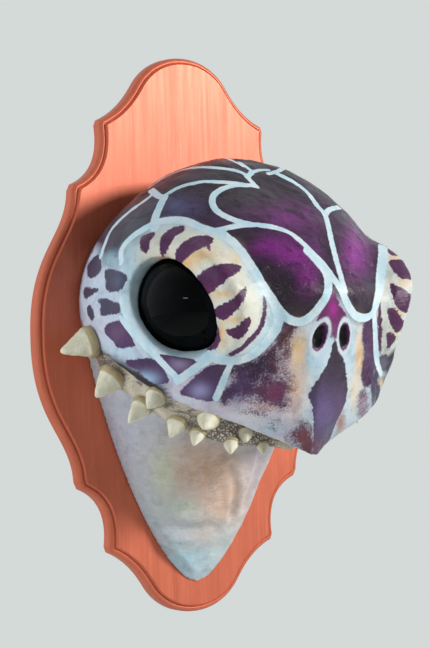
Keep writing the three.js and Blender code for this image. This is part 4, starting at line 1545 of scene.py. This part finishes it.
def makeClay():
    net = Network("bakedClay")
    blotch = net.noise(110, 4, 0.6)
    grit = net.noise(700, 4, 0.7)
    colour = net.mix(net.spread(blotch, 0.38, 0.62), teeth["clay"], teeth["clayPale"])
    colour = net.mix(net.spread(grit, 0.60, 0.75, 0, 0.35), colour, teeth["grit"])
    stain = net.plus(net.layer("glue"), net.times(net.minus(blotch, 0.5), 1.2))
    stain = net.spread(stain, 0.35, 0.9, 0, 0.8)
    height = net.plus(grit, net.times(blotch, 2.0))
    net.put(net.shader.inputs["Base Color"], net.mix(stain, colour, teeth["glue"]))
    net.put(net.shader.inputs["Roughness"], net.spread(stain, 0, 1, 0.58, 0.25))
    net.put(net.shader.inputs["Normal"], net.bump(height, 0.5 * mm, 0.6))
    return net.material


def makeTeeth():
    form, clay = makeToothForm(), makeClay()
    for side, sideName in ((-1, "right"), (1, "left")):
        rows = [row for row in teeth["places"] if side < 0 or row[0] > teeth["onlyBehind"]]
        for number, row in enumerate(rows, 1):
            tooth = makeTooth(form, f"clayTooth_{sideName}_{number}", side, row)
            dress(tooth, clay, f"tooth_{sideName}_{number}")
    bpy.data.objects.remove(form)


makeTeeth()
print("teeth made")


# Backdrop and lights. The strengths of the backdrop's light are those from the front and from behind.
studio = {
    "floorPlace": (0, 0, -0.9),
    "floorRadius": 3.5,
    "floorColour": (0.66, 0.68, 0.67),
    "backdrop": (0.66, 0.70, 0.69),
    "airColour": (0.93, 0.97, 1.0),
    "front": 0.22,
    "behind": 0.66,
    "key": 61,
    "fill": 3,
    "bounce": 9,
    "streak": 1.6,
}


# A pale floor well under the plaque.
def addFloor():
    bpy.ops.mesh.primitive_circle_add(vertices=96, radius=studio["floorRadius"], fill_type="NGON",
                                      location=studio["floorPlace"])
    floor = bpy.context.object
    floor.name = "floor"
    net = Network("floorPaint")
    net.put(net.shader.inputs["Base Color"], studio["floorColour"])
    net.put(net.shader.inputs["Roughness"], 0.9)
    floor.data.materials.append(net.material)


def addLight(name, place, target, size, colour, glossy=True):
    data = bpy.data.lights.new(name, "AREA")
    data.shape = "ELLIPSE"
    data.size, data.size_y = size
    data.energy = studio[name]
    data.color = colour
    obj = bpy.data.objects.new(name, data)
    bpy.context.collection.objects.link(obj)
    obj.visible_glossy = glossy
    obj.location = place
    obj.rotation_euler = (Vector(target) - Vector(place)).to_track_quat("-Z", "Y").to_euler()


# The backdrop that is seen is even. The light that it gives comes mostly from behind, as off a pale wall.
def addWorld():
    world = bpy.data.worlds.new("studio")
    world.use_nodes = True
    nodes, links = world.node_tree.nodes, world.node_tree.links
    seen = nodes["Background"]
    seen.inputs["Color"].default_value = (*studio["backdrop"], 1)
    light = nodes.new("ShaderNodeBackground")
    light.inputs["Color"].default_value = (*studio["airColour"], 1)
    direction = nodes.new("ShaderNodeTexCoord")
    parts = nodes.new("ShaderNodeSeparateXYZ")
    links.new(direction.outputs["Generated"], parts.inputs[0])
    strength = nodes.new("ShaderNodeMapRange")
    for socket, number in zip(list(strength.inputs)[1:5], (-0.5, 0.6, studio["front"], studio["behind"])):
        socket.default_value = number
    links.new(parts.outputs["Y"], strength.inputs[0])
    links.new(strength.outputs[0], light.inputs["Strength"])
    path = nodes.new("ShaderNodeLightPath")
    either = nodes.new("ShaderNodeMixShader")
    links.new(path.outputs["Is Camera Ray"], either.inputs[0])
    links.new(light.outputs[0], either.inputs[1])
    links.new(seen.outputs[0], either.inputs[2])
    links.new(either.outputs[0], nodes["World Output"].inputs["Surface"])
    bpy.context.scene.world = world


addFloor()
addWorld()
addLight("key", (1.5, -1.9, 0.85), (0, -0.1, 0), (0.9, 0.55), (1.0, 0.97, 0.93))
addLight("fill", (-1.9, -1.6, 0.3), (0, -0.1, 0), (1.2, 1.2), (0.92, 0.97, 1.0), glossy=False)
addLight("bounce", (-1.3, 0.25, 0.1), (0, -0.15, 0.05), (1.0, 1.0), (0.94, 0.98, 1.0), glossy=False)
addLight("streak", (-1.9, -1.6, 0.58), (0, -0.1, 0), (0.5, 0.05), (1.0, 1.0, 1.0))
print("studio lit")
